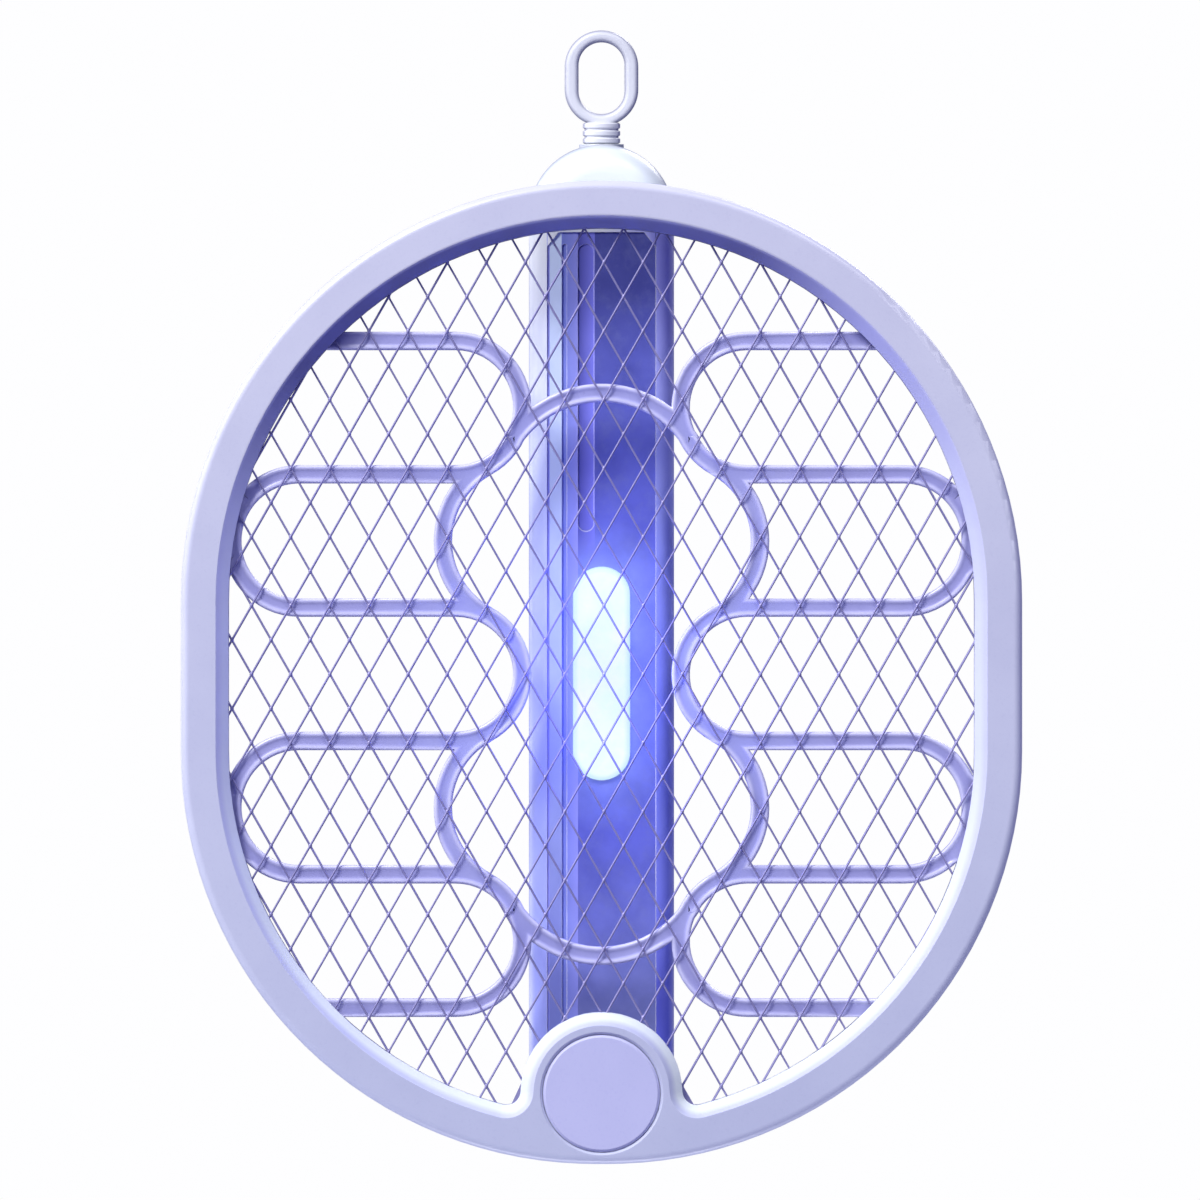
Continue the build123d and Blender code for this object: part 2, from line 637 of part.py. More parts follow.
def uv_leds():
    """Six ultraviolet chips with domed tops in a row on their board."""
    y = LED_BOARD_FRONT
    leds = []
    for k in range(LED_COUNT):
        z = LENS_Z + (k - (LED_COUNT - 1) / 2) * LED_PITCH
        package = bar((-1.75, 1.75), (y - 0.9, y), (z - 1.4, z + 1.4))
        leds.append(package + disc(1.1, y - 1.3, y - 0.9, 0, z))
    return group(leds)


# ---------------------------------------------------------------- electronics
def battery_cell():
    """The rechargeable cell: a wrapped can with rolled edges."""
    can = Pos(0, 0, CELL_TOP - CELL_LENGTH / 2) * Cylinder(CELL_R, CELL_LENGTH)
    return fillet(can.edges().filter_by(GeomType.CIRCLE), 0.8)


def battery_tabs():
    """Two welded nickel tabs, one across each end of the cell."""
    top = bar((-12.4, 4.0), (-3.0, 3.0), (CELL_TOP, CELL_TOP + 0.3))
    low = CELL_TOP - CELL_LENGTH
    bottom = bar((-8.0, 4.0), (-3.0, 3.0), (low - 0.3, low))
    return group([top, bottom])


def battery_leads():
    """The positive lead down beside the cell and the short negative lead below it, to the board."""
    y = (BOARD_FRONT + BOARD_BACK) / 2
    low = CELL_TOP - CELL_LENGTH
    x_board = -8.0
    start = (-LEAD_X, y, CELL_TOP)
    turn = (-LEAD_X, y, low + 0.2)
    straighten = (x_board, y, low - 4.8)
    route = FilletPolyline(start, turn, straighten, (x_board, y, BOARD_TOP), radius=3.0)
    positive = sweep(Plane(origin=start, z_dir=(0, 0, -1)) * Circle(LEAD_R), path=route)
    length = low - 0.3 - BOARD_TOP
    negative = Pos(-6.0, y, BOARD_TOP + length / 2) * Cylinder(LEAD_R, length)
    return group([positive, negative])


def main_board():
    """The circuit board, with rounded corners."""
    height = BOARD_TOP - BOARD_BOTTOM
    board = Pos(0, (BOARD_TOP + BOARD_BOTTOM) / 2) * RectangleRounded(2 * BOARD_HALF, height, 1.5)
    return slab(board, BOARD_FRONT, BOARD_BACK)


def board_parts():
    """Chips, a coil, a diode and the charging light on the board."""
    front = BOARD_FRONT
    parts = [
        bar((-9.0, -3.0), (front - 1.5, front), (-207.0, -202.0)),
        bar((4.0, 9.0), (front - 1.5, front), (-206.0, -202.0)),
        disc(3.0, front - 4.0, front, -8.5, -196.0),
        bar((4.5, 8.5), (front - 1.2, front), (-198.0, -196.0)),
        bar((-0.8, 0.8), (BOARD_BACK, BOARD_BACK + 0.8), (PIPE_Z - 0.5, PIPE_Z + 0.5)),
    ]
    return group(parts)


def hv_transformer():
    """The small step-up transformer: a wound bobbin in a square core."""
    low, high = -230.0, -216.0
    core = bar((-12.0, 0.5), (BOARD_FRONT - 9.0, BOARD_FRONT), (low, high))
    core -= bar((-9.6, -1.9), (BOARD_FRONT - 9.0, BOARD_FRONT), (low + 2.4, high - 2.4))
    winding = Pos(-5.75, BOARD_FRONT - 4.5, (low + high) / 2) * Cylinder(3.6, high - low - 5.4)
    return group([core, winding])


def hv_capacitors():
    """Two dipped film capacitors that store the shock."""
    caps = []
    for x in (4.2, 10.2):
        cap = bar((x - 2.5, x + 2.5), (BOARD_FRONT - 9.0, BOARD_FRONT), (-231.0, -216.0))
        caps.append(fillet(cap.edges().filter_by(Axis.Y), 1.2))
    return group(caps)


def tact_switch():
    """The clicking switch under the zap button."""
    body = bar((-3.0, 3.0), (BOARD_BACK, BOARD_BACK + 3.6), (BUTTON_Z - 3.0, BUTTON_Z + 3.0))
    return body + disc(1.7, BOARD_BACK + 3.6, HANDLE_BACK - WALL - 1.5 - BUTTON_TRAVEL - 0.1, 0, BUTTON_Z)


def slide_switch():
    """The three-position switch under the mode knob, open at the back for the knob's fork."""
    body = bar((-3.4, 3.4), (BOARD_BACK, BOARD_BACK + 4.4), (SWITCH_Z - 6.5, SWITCH_Z + 6.5))
    slot = bar((-1.2, 1.2), (BOARD_BACK + 1.4, BOARD_BACK + 4.4), (SWITCH_Z - 5.2, SWITCH_Z + 5.2))
    return body - slot


def usb_socket():
    """The charging socket's steel sleeve with its tongue."""
    sleeve = Pos(12.6, SOCKET_Y, SOCKET_Z) * Box(7.4, SOCKET_THICK, SOCKET_LENGTH)
    sleeve = fillet(sleeve.edges().filter_by(Axis.X), 1.2)
    well = Pos(13.4, SOCKET_Y, SOCKET_Z) * Box(6.0, SOCKET_THICK - 0.6, SOCKET_LENGTH - 0.6)
    well = fillet(well.edges().filter_by(Axis.X), 0.9)
    tongue = Pos(12.6, SOCKET_Y, SOCKET_Z) * Box(5.2, 0.7, SOCKET_LENGTH - 2.4)
    return sleeve - well + tongue


def light_pipe():
    """The clear rod that shows the charging light at the back."""
    return disc(PIPE_R, BOARD_BACK + 1.2, HANDLE_BACK - 0.15, 0, PIPE_Z)


def hv_leads():
    """Two short high-voltage leads from the board's lower end, down and forward through the hollow shaft."""
    y = (BOARD_FRONT + BOARD_BACK) / 2
    bend = 6.0
    leads = []
    for x in (-1.3, 1.3):
        route = FilletPolyline(
            (x, y, BOARD_BOTTOM), (x, y, PIVOT_Z), (x, SHAFT_SHOULDER - 2.0, PIVOT_Z), radius=bend
        )
        start = Plane(origin=(x, y, BOARD_BOTTOM), z_dir=(0, 0, -1))
        leads.append(sweep(start * Circle(LEAD_R), path=route))
    return group(leads)


# ---------------------------------------------------------------- controls
def zap_button():
    """The zap button: a rounded capsule with grip lines, and a flange that holds it in the shell."""
    top = HANDLE_BACK - DISH_DEPTH + BUTTON_PROUD
    inner = HANDLE_BACK - WALL
    body = slab(Pos(0, BUTTON_Z) * capsule(BUTTON_WIDTH, BUTTON_LENGTH), inner - 1.5, top)
    body = fillet(body.faces().sort_by(Axis.Y)[-1].edges(), 0.7)
    flange = Pos(0, BUTTON_Z) * capsule(BUTTON_WIDTH + 3, BUTTON_LENGTH + 3)
    body += slab(flange, inner - 1.5, inner - 0.05)
    for z in (-6.0, -3.0, 0.0, 3.0, 6.0):
        body -= slab(Pos(0, BUTTON_Z + z) * SlotOverall(7.0, 1.0), top - 0.35, top)
    return body


def mode_knob():
    """The sliding mode knob: a ribbed top in its recess, a stem through the slot and a keeper inside."""
    low_z = SWITCH_Z - SWITCH_TRAVEL / 2
    top = HANDLE_BACK - 0.2
    floor = HANDLE_BACK - 1.2
    inner = HANDLE_BACK - WALL
    cap = slab(Pos(0, low_z) * RectangleRounded(KNOB_WIDTH, KNOB_LENGTH, 1.0), floor + 0.05, top)
    cap = chamfer(cap.faces().sort_by(Axis.Y)[-1].edges(), 0.25)
    for k in range(-2, 3):
        cap -= bar((-BIG, BIG), (top - 0.4, top), (low_z + k * 1.4 - 0.3, low_z + k * 1.4 + 0.3))
    stem = bar((-1.6, 1.6), (inner - 1.5, floor + 0.1), (low_z - 1.7, low_z + 1.7))
    keeper = bar((-3.0, 3.0), (inner - 1.5, inner - 0.1), (low_z - 1.7, low_z + 1.7))
    fork = bar((-0.9, 0.9), (BOARD_BACK + 1.8, inner - 1.5), (low_z - 1.2, low_z + 1.2))
    return cap + stem + keeper + fork


def flap_recess():
    """The recess and window for the charging flap in the handle's right side."""
    half = FLAP_LENGTH / 2 + FLAP_GAP
    y_low = SOCKET_Y - FLAP_WIDTH / 2 - FLAP_GAP
    y_high = SOCKET_Y + FLAP_WIDTH / 2 + FLAP_GAP
    x_floor = HANDLE_HALF - FLAP_THICK - 0.1
    recess = bar((x_floor, HANDLE_HALF + 5), (y_low, y_high), (SOCKET_Z - half, SOCKET_Z + half))
    x_range = (HANDLE_HALF - WALL - 1, HANDLE_HALF)
    window = bar(x_range, (SOCKET_Y - 1.9, SOCKET_Y + 1.9), (SOCKET_Z - 4.8, SOCKET_Z + 4.8))
    return recess + window


def usb_flap():
    """The soft flap over the charging socket, with a shallow plug and a finger notch."""
    x_in = HANDLE_HALF - FLAP_THICK
    y_low = SOCKET_Y - FLAP_WIDTH / 2
    y_high = SOCKET_Y + FLAP_WIDTH / 2
    half = FLAP_LENGTH / 2
    plate = bar((x_in, HANDLE_HALF), (y_low, y_high), (SOCKET_Z - half, SOCKET_Z + half)) & HANDLE_OUTER
    plug = bar((x_in - 0.7, x_in), (SOCKET_Y - 1.3, SOCKET_Y + 1.3), (SOCKET_Z - 4.2, SOCKET_Z + 4.2))
    notch = Pos(HANDLE_HALF + 1.4, y_high - 0.6, SOCKET_Z) * Cylinder(2.0, 5.0)
    return plate + plug - notch


# ---------------------------------------------------------------- build
NODES = {
    "front_frame": front_frame,
    "rear_frame": rear_frame,
    "head_screws": head_screws,
    "front_mesh": front_mesh,
    "rear_mesh": rear_mesh,
    "hv_grid": hv_grid,
    "front_rib_guard": front_rib_guard,
    "rear_rib_guard": rear_rib_guard,
    "contact_strips": contact_strips,
    "pivot_cap": pivot_cap,
    "stop_pin": stop_pin,
    "pivot_shaft": pivot_shaft,
    "thrust_washer": thrust_washer,
    "friction_spring": friction_spring,
    "retaining_washer": retaining_washer,
    "retaining_ring": retaining_ring,
    "handle_front_shell": handle_front_shell,
    "handle_rear_shell": handle_rear_shell,
    "handle_screws": handle_screws,
    "lamp_lens": lamp_lens,
    "uv_led_board": uv_led_board,
    "uv_leds": uv_leds,
    "battery_cell": battery_cell,
    "battery_tabs": battery_tabs,
    "battery_leads": battery_leads,
    "main_board": main_board,
    "board_parts": board_parts,
    "hv_transformer": hv_transformer,
    "hv_capacitors": hv_capacitors,
    "tact_switch": tact_switch,
    "slide_switch": slide_switch,
    "usb_socket": usb_socket,
    "light_pipe": light_pipe,
    "hv_leads": hv_leads,
    "hang_ring": hang_ring,
    "zap_button": zap_button,
    "mode_knob": mode_knob,
    "usb_flap": usb_flap,
}

os.makedirs("parts", exist_ok=True)
for name, make in NODES.items():
    export_step(make(), f"parts/{name}.step")
    print("wrote", name)
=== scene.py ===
import json
import math
import random

import bmesh
import bpy
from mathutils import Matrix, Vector


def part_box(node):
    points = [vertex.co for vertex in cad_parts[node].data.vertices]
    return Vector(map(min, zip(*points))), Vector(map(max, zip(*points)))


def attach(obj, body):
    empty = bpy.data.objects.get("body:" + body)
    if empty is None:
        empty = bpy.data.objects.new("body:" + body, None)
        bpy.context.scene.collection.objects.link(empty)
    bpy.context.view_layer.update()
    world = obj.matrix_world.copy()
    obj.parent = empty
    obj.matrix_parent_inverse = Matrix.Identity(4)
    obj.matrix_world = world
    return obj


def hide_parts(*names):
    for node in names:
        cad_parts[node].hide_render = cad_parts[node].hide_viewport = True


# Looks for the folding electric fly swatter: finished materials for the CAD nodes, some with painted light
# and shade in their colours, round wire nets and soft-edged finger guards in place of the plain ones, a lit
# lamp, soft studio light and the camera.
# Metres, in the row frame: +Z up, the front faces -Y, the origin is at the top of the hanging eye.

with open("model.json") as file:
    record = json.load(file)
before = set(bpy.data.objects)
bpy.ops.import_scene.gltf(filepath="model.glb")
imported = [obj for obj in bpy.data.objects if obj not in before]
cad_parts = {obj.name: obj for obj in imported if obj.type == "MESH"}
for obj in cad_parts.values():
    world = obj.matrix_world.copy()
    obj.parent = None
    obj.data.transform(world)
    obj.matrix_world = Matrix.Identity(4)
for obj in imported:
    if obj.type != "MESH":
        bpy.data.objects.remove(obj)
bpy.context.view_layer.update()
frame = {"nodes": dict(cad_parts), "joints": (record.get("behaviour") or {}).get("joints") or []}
NODES = frame["nodes"]
JOINTS = {joint["name"]: joint for joint in frame["joints"]}
MM = 0.001
Y_AXIS = Vector((0, 1, 0))

# ---------------------------------------------------------------- sizes, from the frame and the part's own
HEAD_LOW, HEAD_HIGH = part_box("front_frame")
TOP_R = HEAD_HIGH.x
SIDE_R = 103.3 * MM
BASE_R = 163.5 * MM
ARCH_Z = HEAD_HIGH.z - TOP_R
SIDE_X = TOP_R - SIDE_R
BASE_Z = HEAD_LOW.z + BASE_R
SIDE_DROP = math.sqrt((BASE_R - SIDE_R) ** 2 - SIDE_X**2)
SIDE_Z = BASE_Z - SIDE_DROP
SIDE_LEAN = math.atan2(SIDE_DROP, SIDE_X)
LIP_INSET = 11.9 * MM
BOSS_R = 20.25 * MM
PIVOT = Vector(JOINTS["head_fold"]["pos_m"])

WIRE_ANGLE = math.radians(60.3)
WIRE_PITCH = 9.8 * MM
WIRE_SPAN = int(2 * TOP_R / WIRE_PITCH) + 8
WIRE_HALF = 0.25 * MM
NET_CENTRE_X = 0.6 * MM
NET_CENTRE_Z = -158.6 * MM
NET_RIM_GROW = 2.2 * MM
NET_RIM_WIDTH = 1.3 * MM
WIRE_END_GROW = NET_RIM_GROW - 0.4 * MM
WIRE_WANDER_MM = 0.04
WIRE_DEPTH_SHARE = 0.62
WELD_HALF_WIDE = 0.45 * MM
WELD_HALF_TALL = 0.65 * MM

# A rib's outer face from its edge inwards, row by row: how far in, how deep below the face, and how much
# painted highlight.
RIB_STEPS = 4
RIB_EDGE_DEPTH = 0.8 * MM
RIB_ROUNDING = 0.6 * MM
RIB_HOLLOW = 0.35 * MM
RIB_HOLLOW_STEP = 0.3 * MM
RIB_EDGE_HIGHLIGHT = (0.8, 1.0, 1.0, 1.0, 1.0, 0.8, 0.35, 0.1, 0.0)
RIB_PROFILE = [
    (RIB_ROUNDING * (1 - math.cos(a)), RIB_EDGE_DEPTH * (1 - math.sin(a)))
    for a in (math.radians(90 / RIB_STEPS * step) for step in range(1, RIB_STEPS + 1))
] + [
    (RIB_ROUNDING + RIB_HOLLOW_STEP * step, RIB_HOLLOW * (1 - math.cos(math.pi * step / RIB_STEPS)) / 2)
    for step in range(1, RIB_STEPS + 1)
]
MERGE_DISTANCE = 0.004 * MM
FACE_TOLERANCE = 0.01 * MM
SHARPEST_STRETCH = 1.2

LENS_LOW, LENS_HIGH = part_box("lamp_lens")
LENS_CENTRE = (LENS_LOW + LENS_HIGH) / 2
LENS_HALF_WIDTH = 7.1 * MM
LENS_HALF_HEIGHT = 26.7 * MM
HANDLE_LOW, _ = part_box("handle_front_shell")
PANEL_TOP = -47.8 * MM
PANEL_BOTTOM = -249.5 * MM
PANEL_HALF = 13.6 * MM
GROOVE_X = -9.3 * MM
FLUTE_LEFT = -5.9 * MM
FLUTE_WIDTH = 4.2 * MM
CHIP_PITCH = 8.4 * MM


# ---------------------------------------------------------------- mesh helpers
def piece_from(bm, name, smooth_angle=35):
    """Makes an object of a finished bmesh, smooth except across sharp edges."""
    bmesh.ops.recalc_face_normals(bm, faces=bm.faces)
    mesh = bpy.data.meshes.new(name)
    bm.to_mesh(mesh)
    bm.free()
    for polygon in mesh.polygons:
        polygon.use_smooth = True
    mesh.set_sharp_from_angle(angle=math.radians(smooth_angle))
    piece = bpy.data.objects.new(name, mesh)
    bpy.context.scene.collection.objects.link(piece)
    return piece


class Solids:
    """Closed shapes collected as plain points and faces, quicker than one mesh call for each."""

    def __init__(self):
        self.points = []
        self.faces = []

    def add(self, points, faces):
        """Adds one shape; its faces number its own points from 0."""
        first = len(self.points)
        self.points.extend(points)
        self.faces.extend(tuple(first + index for index in face) for face in faces)

    def rod(self, start, end, half_wide, half_deep, sides=8):
        """A straight rod of oval section between two points, its width square to Y."""
        along = (end - start).normalized()
        across = along.cross(Y_AXIS).normalized()
        points = []
        for end_point in (start, end):
            for k in range(sides):
                a = 2 * math.pi * k / sides
                sideways = across * (half_wide * math.cos(a))
                points.append(end_point + sideways + Y_AXIS * (half_deep * math.sin(a)))
        faces = [(k, (k + 1) % sides, sides + (k + 1) % sides, sides + k) for k in range(sides)]
        faces.append(tuple(reversed(range(sides))))
        faces.append(tuple(range(sides, 2 * sides)))
        self.add(points, faces)

    def bead(self, centre, half_wide, half_tall, half_deep, around=8, rings=3):
        """A small flattened bead, where two wires are welded."""
        points = [centre + Y_AXIS * half_deep]
        for row in range(1, rings + 1):
            lean = math.pi * row / (rings + 1)
            for k in range(around):
                a = 2 * math.pi * k / around
                x = half_wide * math.sin(lean) * math.cos(a)
                z = half_tall * math.sin(lean) * math.sin(a)
                points.append(centre + Vector((x, half_deep * math.cos(lean), z)))
        points.append(centre - Y_AXIS * half_deep)
        last = len(points) - 1
        faces = []
        for k in range(around):
            n = (k + 1) % around
            faces.append((0, 1 + n, 1 + k))
            for row in range(rings - 1):
                low = 1 + row * around
                faces.append((low + k, low + n, low + around + n, low + around + k))
            faces.append((last - around + k, last - around + n, last))
        self.add(points, faces)

    def loop(self, outlines):
        """A closed ring whose section has one corner on each outline."""
        count = len(outlines[0])
        sides = len(outlines)
        faces = []
        for k in range(count):
            n = (k + 1) % count
            for a in range(sides):
                b = (a + 1) % sides
                faces.append((a * count + k, a * count + n, b * count + n, b * count + k))
        self.add([point for outline in outlines for point in outline], faces)

    def piece(self, name, smooth_angle):
        """Makes the object."""
        mesh = bpy.data.meshes.new(name)
        mesh.from_pydata(self.points, [], self.faces)
        bm = bmesh.new()
        bm.from_mesh(mesh)
        bpy.data.meshes.remove(mesh)
        return piece_from(bm, name, smooth_angle)


# ---------------------------------------------------------------- wire nets
def inset_from_edge(x, z):
    """How far a point of the head lies inside its outer outline."""
    if z >= ARCH_Z:
        return TOP_R - math.hypot(x, z - ARCH_Z)
    if z >= SIDE_Z:
        return TOP_R - abs(x)
    if math.atan2(SIDE_Z - z, abs(x) - SIDE_X) < SIDE_LEAN:
        return SIDE_R - math.hypot(abs(x) - SIDE_X, z - SIDE_Z)
    return BASE_R - math.hypot(x, z - BASE_Z)


def room_in_net(x, z, grow):
    """How far a point lies inside the head's opening, grown outwards by an amount."""
    from_boss = math.hypot(x - PIVOT.x, z - PIVOT.z) - BOSS_R
    return min(inset_from_edge(x, z) - LIP_INSET, from_boss) + grow


def clipped_runs(x0, z0, angle, grow):
    """The stretches of a slanted line that lie inside the opening, as pairs of points."""
    step = 0.5 * MM
    reach = 2.6 * TOP_R
    dx, dz = math.cos(angle), math.sin(angle)
    runs = []
    start = None
    for k in range(int(2 * reach / step)):
        t = k * step - reach
        inside = room_in_net(x0 + t * dx, z0 + t * dz, grow) > 0
        if inside and start is None:
            start = t
        if not inside and start is not None:
            last = t - step
            runs.append(((x0 + start * dx, z0 + start * dz), (x0 + last * dx, z0 + last * dz)))
            start = None
    return runs


def rim_loop(grow, count=240):
    """The opening's own outline, grown by an amount, as points round the net's centre."""
    points = []
    for k in range(count):
        a = 2 * math.pi * k / count
        low, high = 0.0, 1.3 * TOP_R
        for _ in range(30):
            r = (low + high) / 2
            if room_in_net(r * math.cos(a), NET_CENTRE_Z + r * math.sin(a), grow) > 0:
                low = r
            else:
                high = r
        points.append((low * math.cos(a), NET_CENTRE_Z + low * math.sin(a)))
    return points


def net_runs():
    """Every wire's place in the opening: its layer sign and its two end points in the X-Z plane."""
    rng = random.Random(3)
    runs = []
    for sign in (1, -1):
        for k in range(-WIRE_SPAN, WIRE_SPAN + 1):
            x0 = NET_CENTRE_X + k * WIRE_PITCH + rng.uniform(-WIRE_WANDER_MM, WIRE_WANDER_MM) * MM
            for start, end in clipped_runs(x0, NET_CENTRE_Z, sign * WIRE_ANGLE, WIRE_END_GROW):
                runs.append((sign, start, end))
    return runs


def net_crossings():
    """Where the wires cross inside the opening."""
    rise = WIRE_PITCH / 2 * math.tan(WIRE_ANGLE)
    places = []
    for k in range(-WIRE_SPAN, WIRE_SPAN + 1):
        for m in range(-WIRE_SPAN, WIRE_SPAN + 1):
            x = NET_CENTRE_X + (k + m) * WIRE_PITCH / 2
            z = NET_CENTRE_Z + (m - k) * rise
            if room_in_net(x, z, 0) > 0:
                places.append((x, z))
    return places


NET_RUNS = net_runs()
NET_CROSSINGS = net_crossings()
NET_RIM = [rim_loop(NET_RIM_GROW), rim_loop(NET_RIM_GROW - NET_RIM_WIDTH)]


def wire_net(name, node):
    """Two layers of crossing round wires, welded where they cross, in place of a CAD net."""
    low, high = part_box(node)
    middle = (low.y + high.y) / 2
    half = (high.y - low.y) / 2
    deep = WIRE_DEPTH_SHARE * half
    shift = half - deep
    solids = Solids()
    for sign, start, end in NET_RUNS:
        y = middle - sign * shift
        ends = (Vector((x, y, z)) for x, z in (start, end))
        solids.rod(*ends, WIRE_HALF, deep)
    for x, z in NET_CROSSINGS:
        solids.bead(Vector((x, middle, z)), WELD_HALF_WIDE, WELD_HALF_TALL, half)
    corners = ((0, low.y), (0, high.y), (1, high.y), (1, low.y))
    solids.loop([[Vector((x, y, z)) for x, z in NET_RIM[side]] for side, y in corners])
    net = solids.piece(name, 60)
    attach(net, "head")
    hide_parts(node)
    return net


# ---------------------------------------------------------------- finger guards
def open_outlines(bm):
    """The closed outlines round a mesh's missing faces, each with its solid side on the left."""
    following = {}
    for edge in bm.edges:
        if len(edge.link_loops) == 1:
            loop = edge.link_loops[0]
            following[loop.link_loop_next.vert] = loop.vert
    outlines = []
    while following:
        first, point = following.popitem()
        outline = [first]
        while point is not first:
            outline.append(point)
            point = following.pop(point)
        outlines.append(outline)
    return outlines


def moved_in(outline, facing, inset, depth):
    """An outline's points moved sideways onto the solid and down below its face."""
    places = []
    for k, vert in enumerate(outline):
        before = (vert.co - outline[k - 1].co).normalized()
        after = (outline[(k + 1) % len(outline)].co - vert.co).normalized()
        sides = facing.cross(before) + facing.cross(after)
        stretch = 2 / max(sides.length_squared, SHARPEST_STRETCH)
        places.append(vert.co + sides * (inset * stretch) - facing * depth)
    return places


def soft_guard(name, node, outward):
    """A finger guard with rounded rib edges and a shallow hollow in its face, in place of the CAD one, with
    its rounded edges marked for a painted highlight.
    """
    low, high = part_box(node)
    outer_y = low.y if outward < 0 else high.y
    facing = Y_AXIS * outward
    bm = bmesh.new()
    # A painted edge highlight share for each point: full on the rounded rib edges, none in the hollow.
    pale = bm.verts.layers.float.new("painted_edge_highlight")
    bm.from_mesh(NODES[node].data)
    bmesh.ops.remove_doubles(bm, verts=bm.verts, dist=MERGE_DISTANCE)
    bmesh.ops.recalc_face_normals(bm, faces=bm.faces)
    outer_faces = [f for f in bm.faces if all(abs(v.co.y - outer_y) < FACE_TOLERANCE for v in f.verts)]
    corners = [list(face.verts) for face in outer_faces]
    bmesh.ops.delete(bm, geom=outer_faces, context="FACES")
    floor_of = {}
    for outline in open_outlines(bm):
        rows = [outline]
        for inset, depth in RIB_PROFILE:
            rows.append([bm.verts.new(place) for place in moved_in(outline, facing, inset, depth)])
        for vert in outline:
            vert.co -= facing * RIB_EDGE_DEPTH
        # Each row gets its share of the painted edge highlight.
        for row, highlight_share in zip(rows, RIB_EDGE_HIGHLIGHT):
            for vert in row:
                vert[pale] = highlight_share
        for outer, inner in zip(rows, rows[1:]):
            for k in range(len(outline)):
                bm.faces.new((outer[k - 1], outer[k], inner[k], inner[k - 1]))
        floor_of.update(zip(outline, rows[-1]))
    for face_corners in corners:
        bm.faces.new([floor_of[vert] for vert in face_corners])
    guard = piece_from(bm, name, 50)
    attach(guard, "head")
    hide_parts(node)
    return guard


# ---------------------------------------------------------------- material helpers
def add_node(tree, kind, inputs=None, **settings):
    """Adds a node; inputs are sockets to link or values to set, by socket name or number."""
    node = tree.nodes.new(kind)
    for key, value in settings.items():
        setattr(node, key, value)
    for key, value in (inputs or {}).items():
        if isinstance(value, bpy.types.NodeSocket):
            tree.links.new(value, node.inputs[key])
        else:
            node.inputs[key].default_value = value
    return node


def new_material(name):
    """An empty node material with its Principled shader."""
    material = bpy.data.materials.new(name)
    material.use_nodes = True
    return material, material.node_tree, material.node_tree.nodes["Principled BSDF"]


def object_place(tree):
    """The surface point in the row frame at rest, moving with its body."""
    return add_node(tree, "ShaderNodeTexCoord").outputs["Object"]


def noise(tree, place, scale, detail=3.0, rough=0.55):
    """A noise pattern; its factor output."""
    made = add_node(
        tree, "ShaderNodeTexNoise", {"Vector": place, "Scale": scale, "Detail": detail, "Roughness": rough}
    )
    return made.outputs["Fac"]


def spread(tree, value, low_in, high_in, low_out, high_out, smooth=False):
    """Maps one range to another."""
    made = add_node(
        tree,
        "ShaderNodeMapRange",
        {"Value": value, "From Min": low_in, "From Max": high_in, "To Min": low_out, "To Max": high_out},
    )
    made.interpolation_type = "SMOOTHSTEP" if smooth else "LINEAR"
    return made.outputs["Result"]


def maths(tree, operation, *values):
    """One step of arithmetic."""
    made = add_node(tree, "ShaderNodeMath", dict(enumerate(values)), operation=operation)
    return made.outputs[0]


def blend_colour(tree, factor, first, second, mode="MIX"):
    """Mixes two colours by a factor."""
    made = add_node(tree, "ShaderNodeMix", data_type="RGBA", blend_type=mode)
    for key, value in ((0, factor), (6, first), (7, second)):
        if isinstance(value, bpy.types.NodeSocket):
            tree.links.new(value, made.inputs[key])
        elif key == 0:
            made.inputs[key].default_value = value
        else:
            made.inputs[key].default_value = (*value[:3], 1.0)
    return made.outputs[2]


def edge_mask(tree, radius):
    """1 on sharp edges, 0 on flats."""
    rounded = add_node(tree, "ShaderNodeBevel", {"Radius": radius}, samples=4).outputs["Normal"]
    plain = add_node(tree, "ShaderNodeNewGeometry").outputs["Normal"]
    facing = add_node(tree, "ShaderNodeVectorMath", {0: rounded, 1: plain}, operation="DOT_PRODUCT")
    return spread(tree, facing.outputs["Value"], 0.99, 0.80, 0.0, 1.0)


def cloudiness(tree, value, low, high):
    """Maps the middle of a noise pattern's range to another range."""
    return spread(tree, value, 0.3, 0.7, low, high)


CLOUD_SCALE = 35.0
SPECK_SCALE = 1400.0
PATCH_SCALE = 90.0
GRAIN_SCALE = 2600.0
TARNISH_SCALE = 60.0
PALER_EDGE_RADIUS = 0.35 * MM
SOFT_EDGE = 0.25 * MM


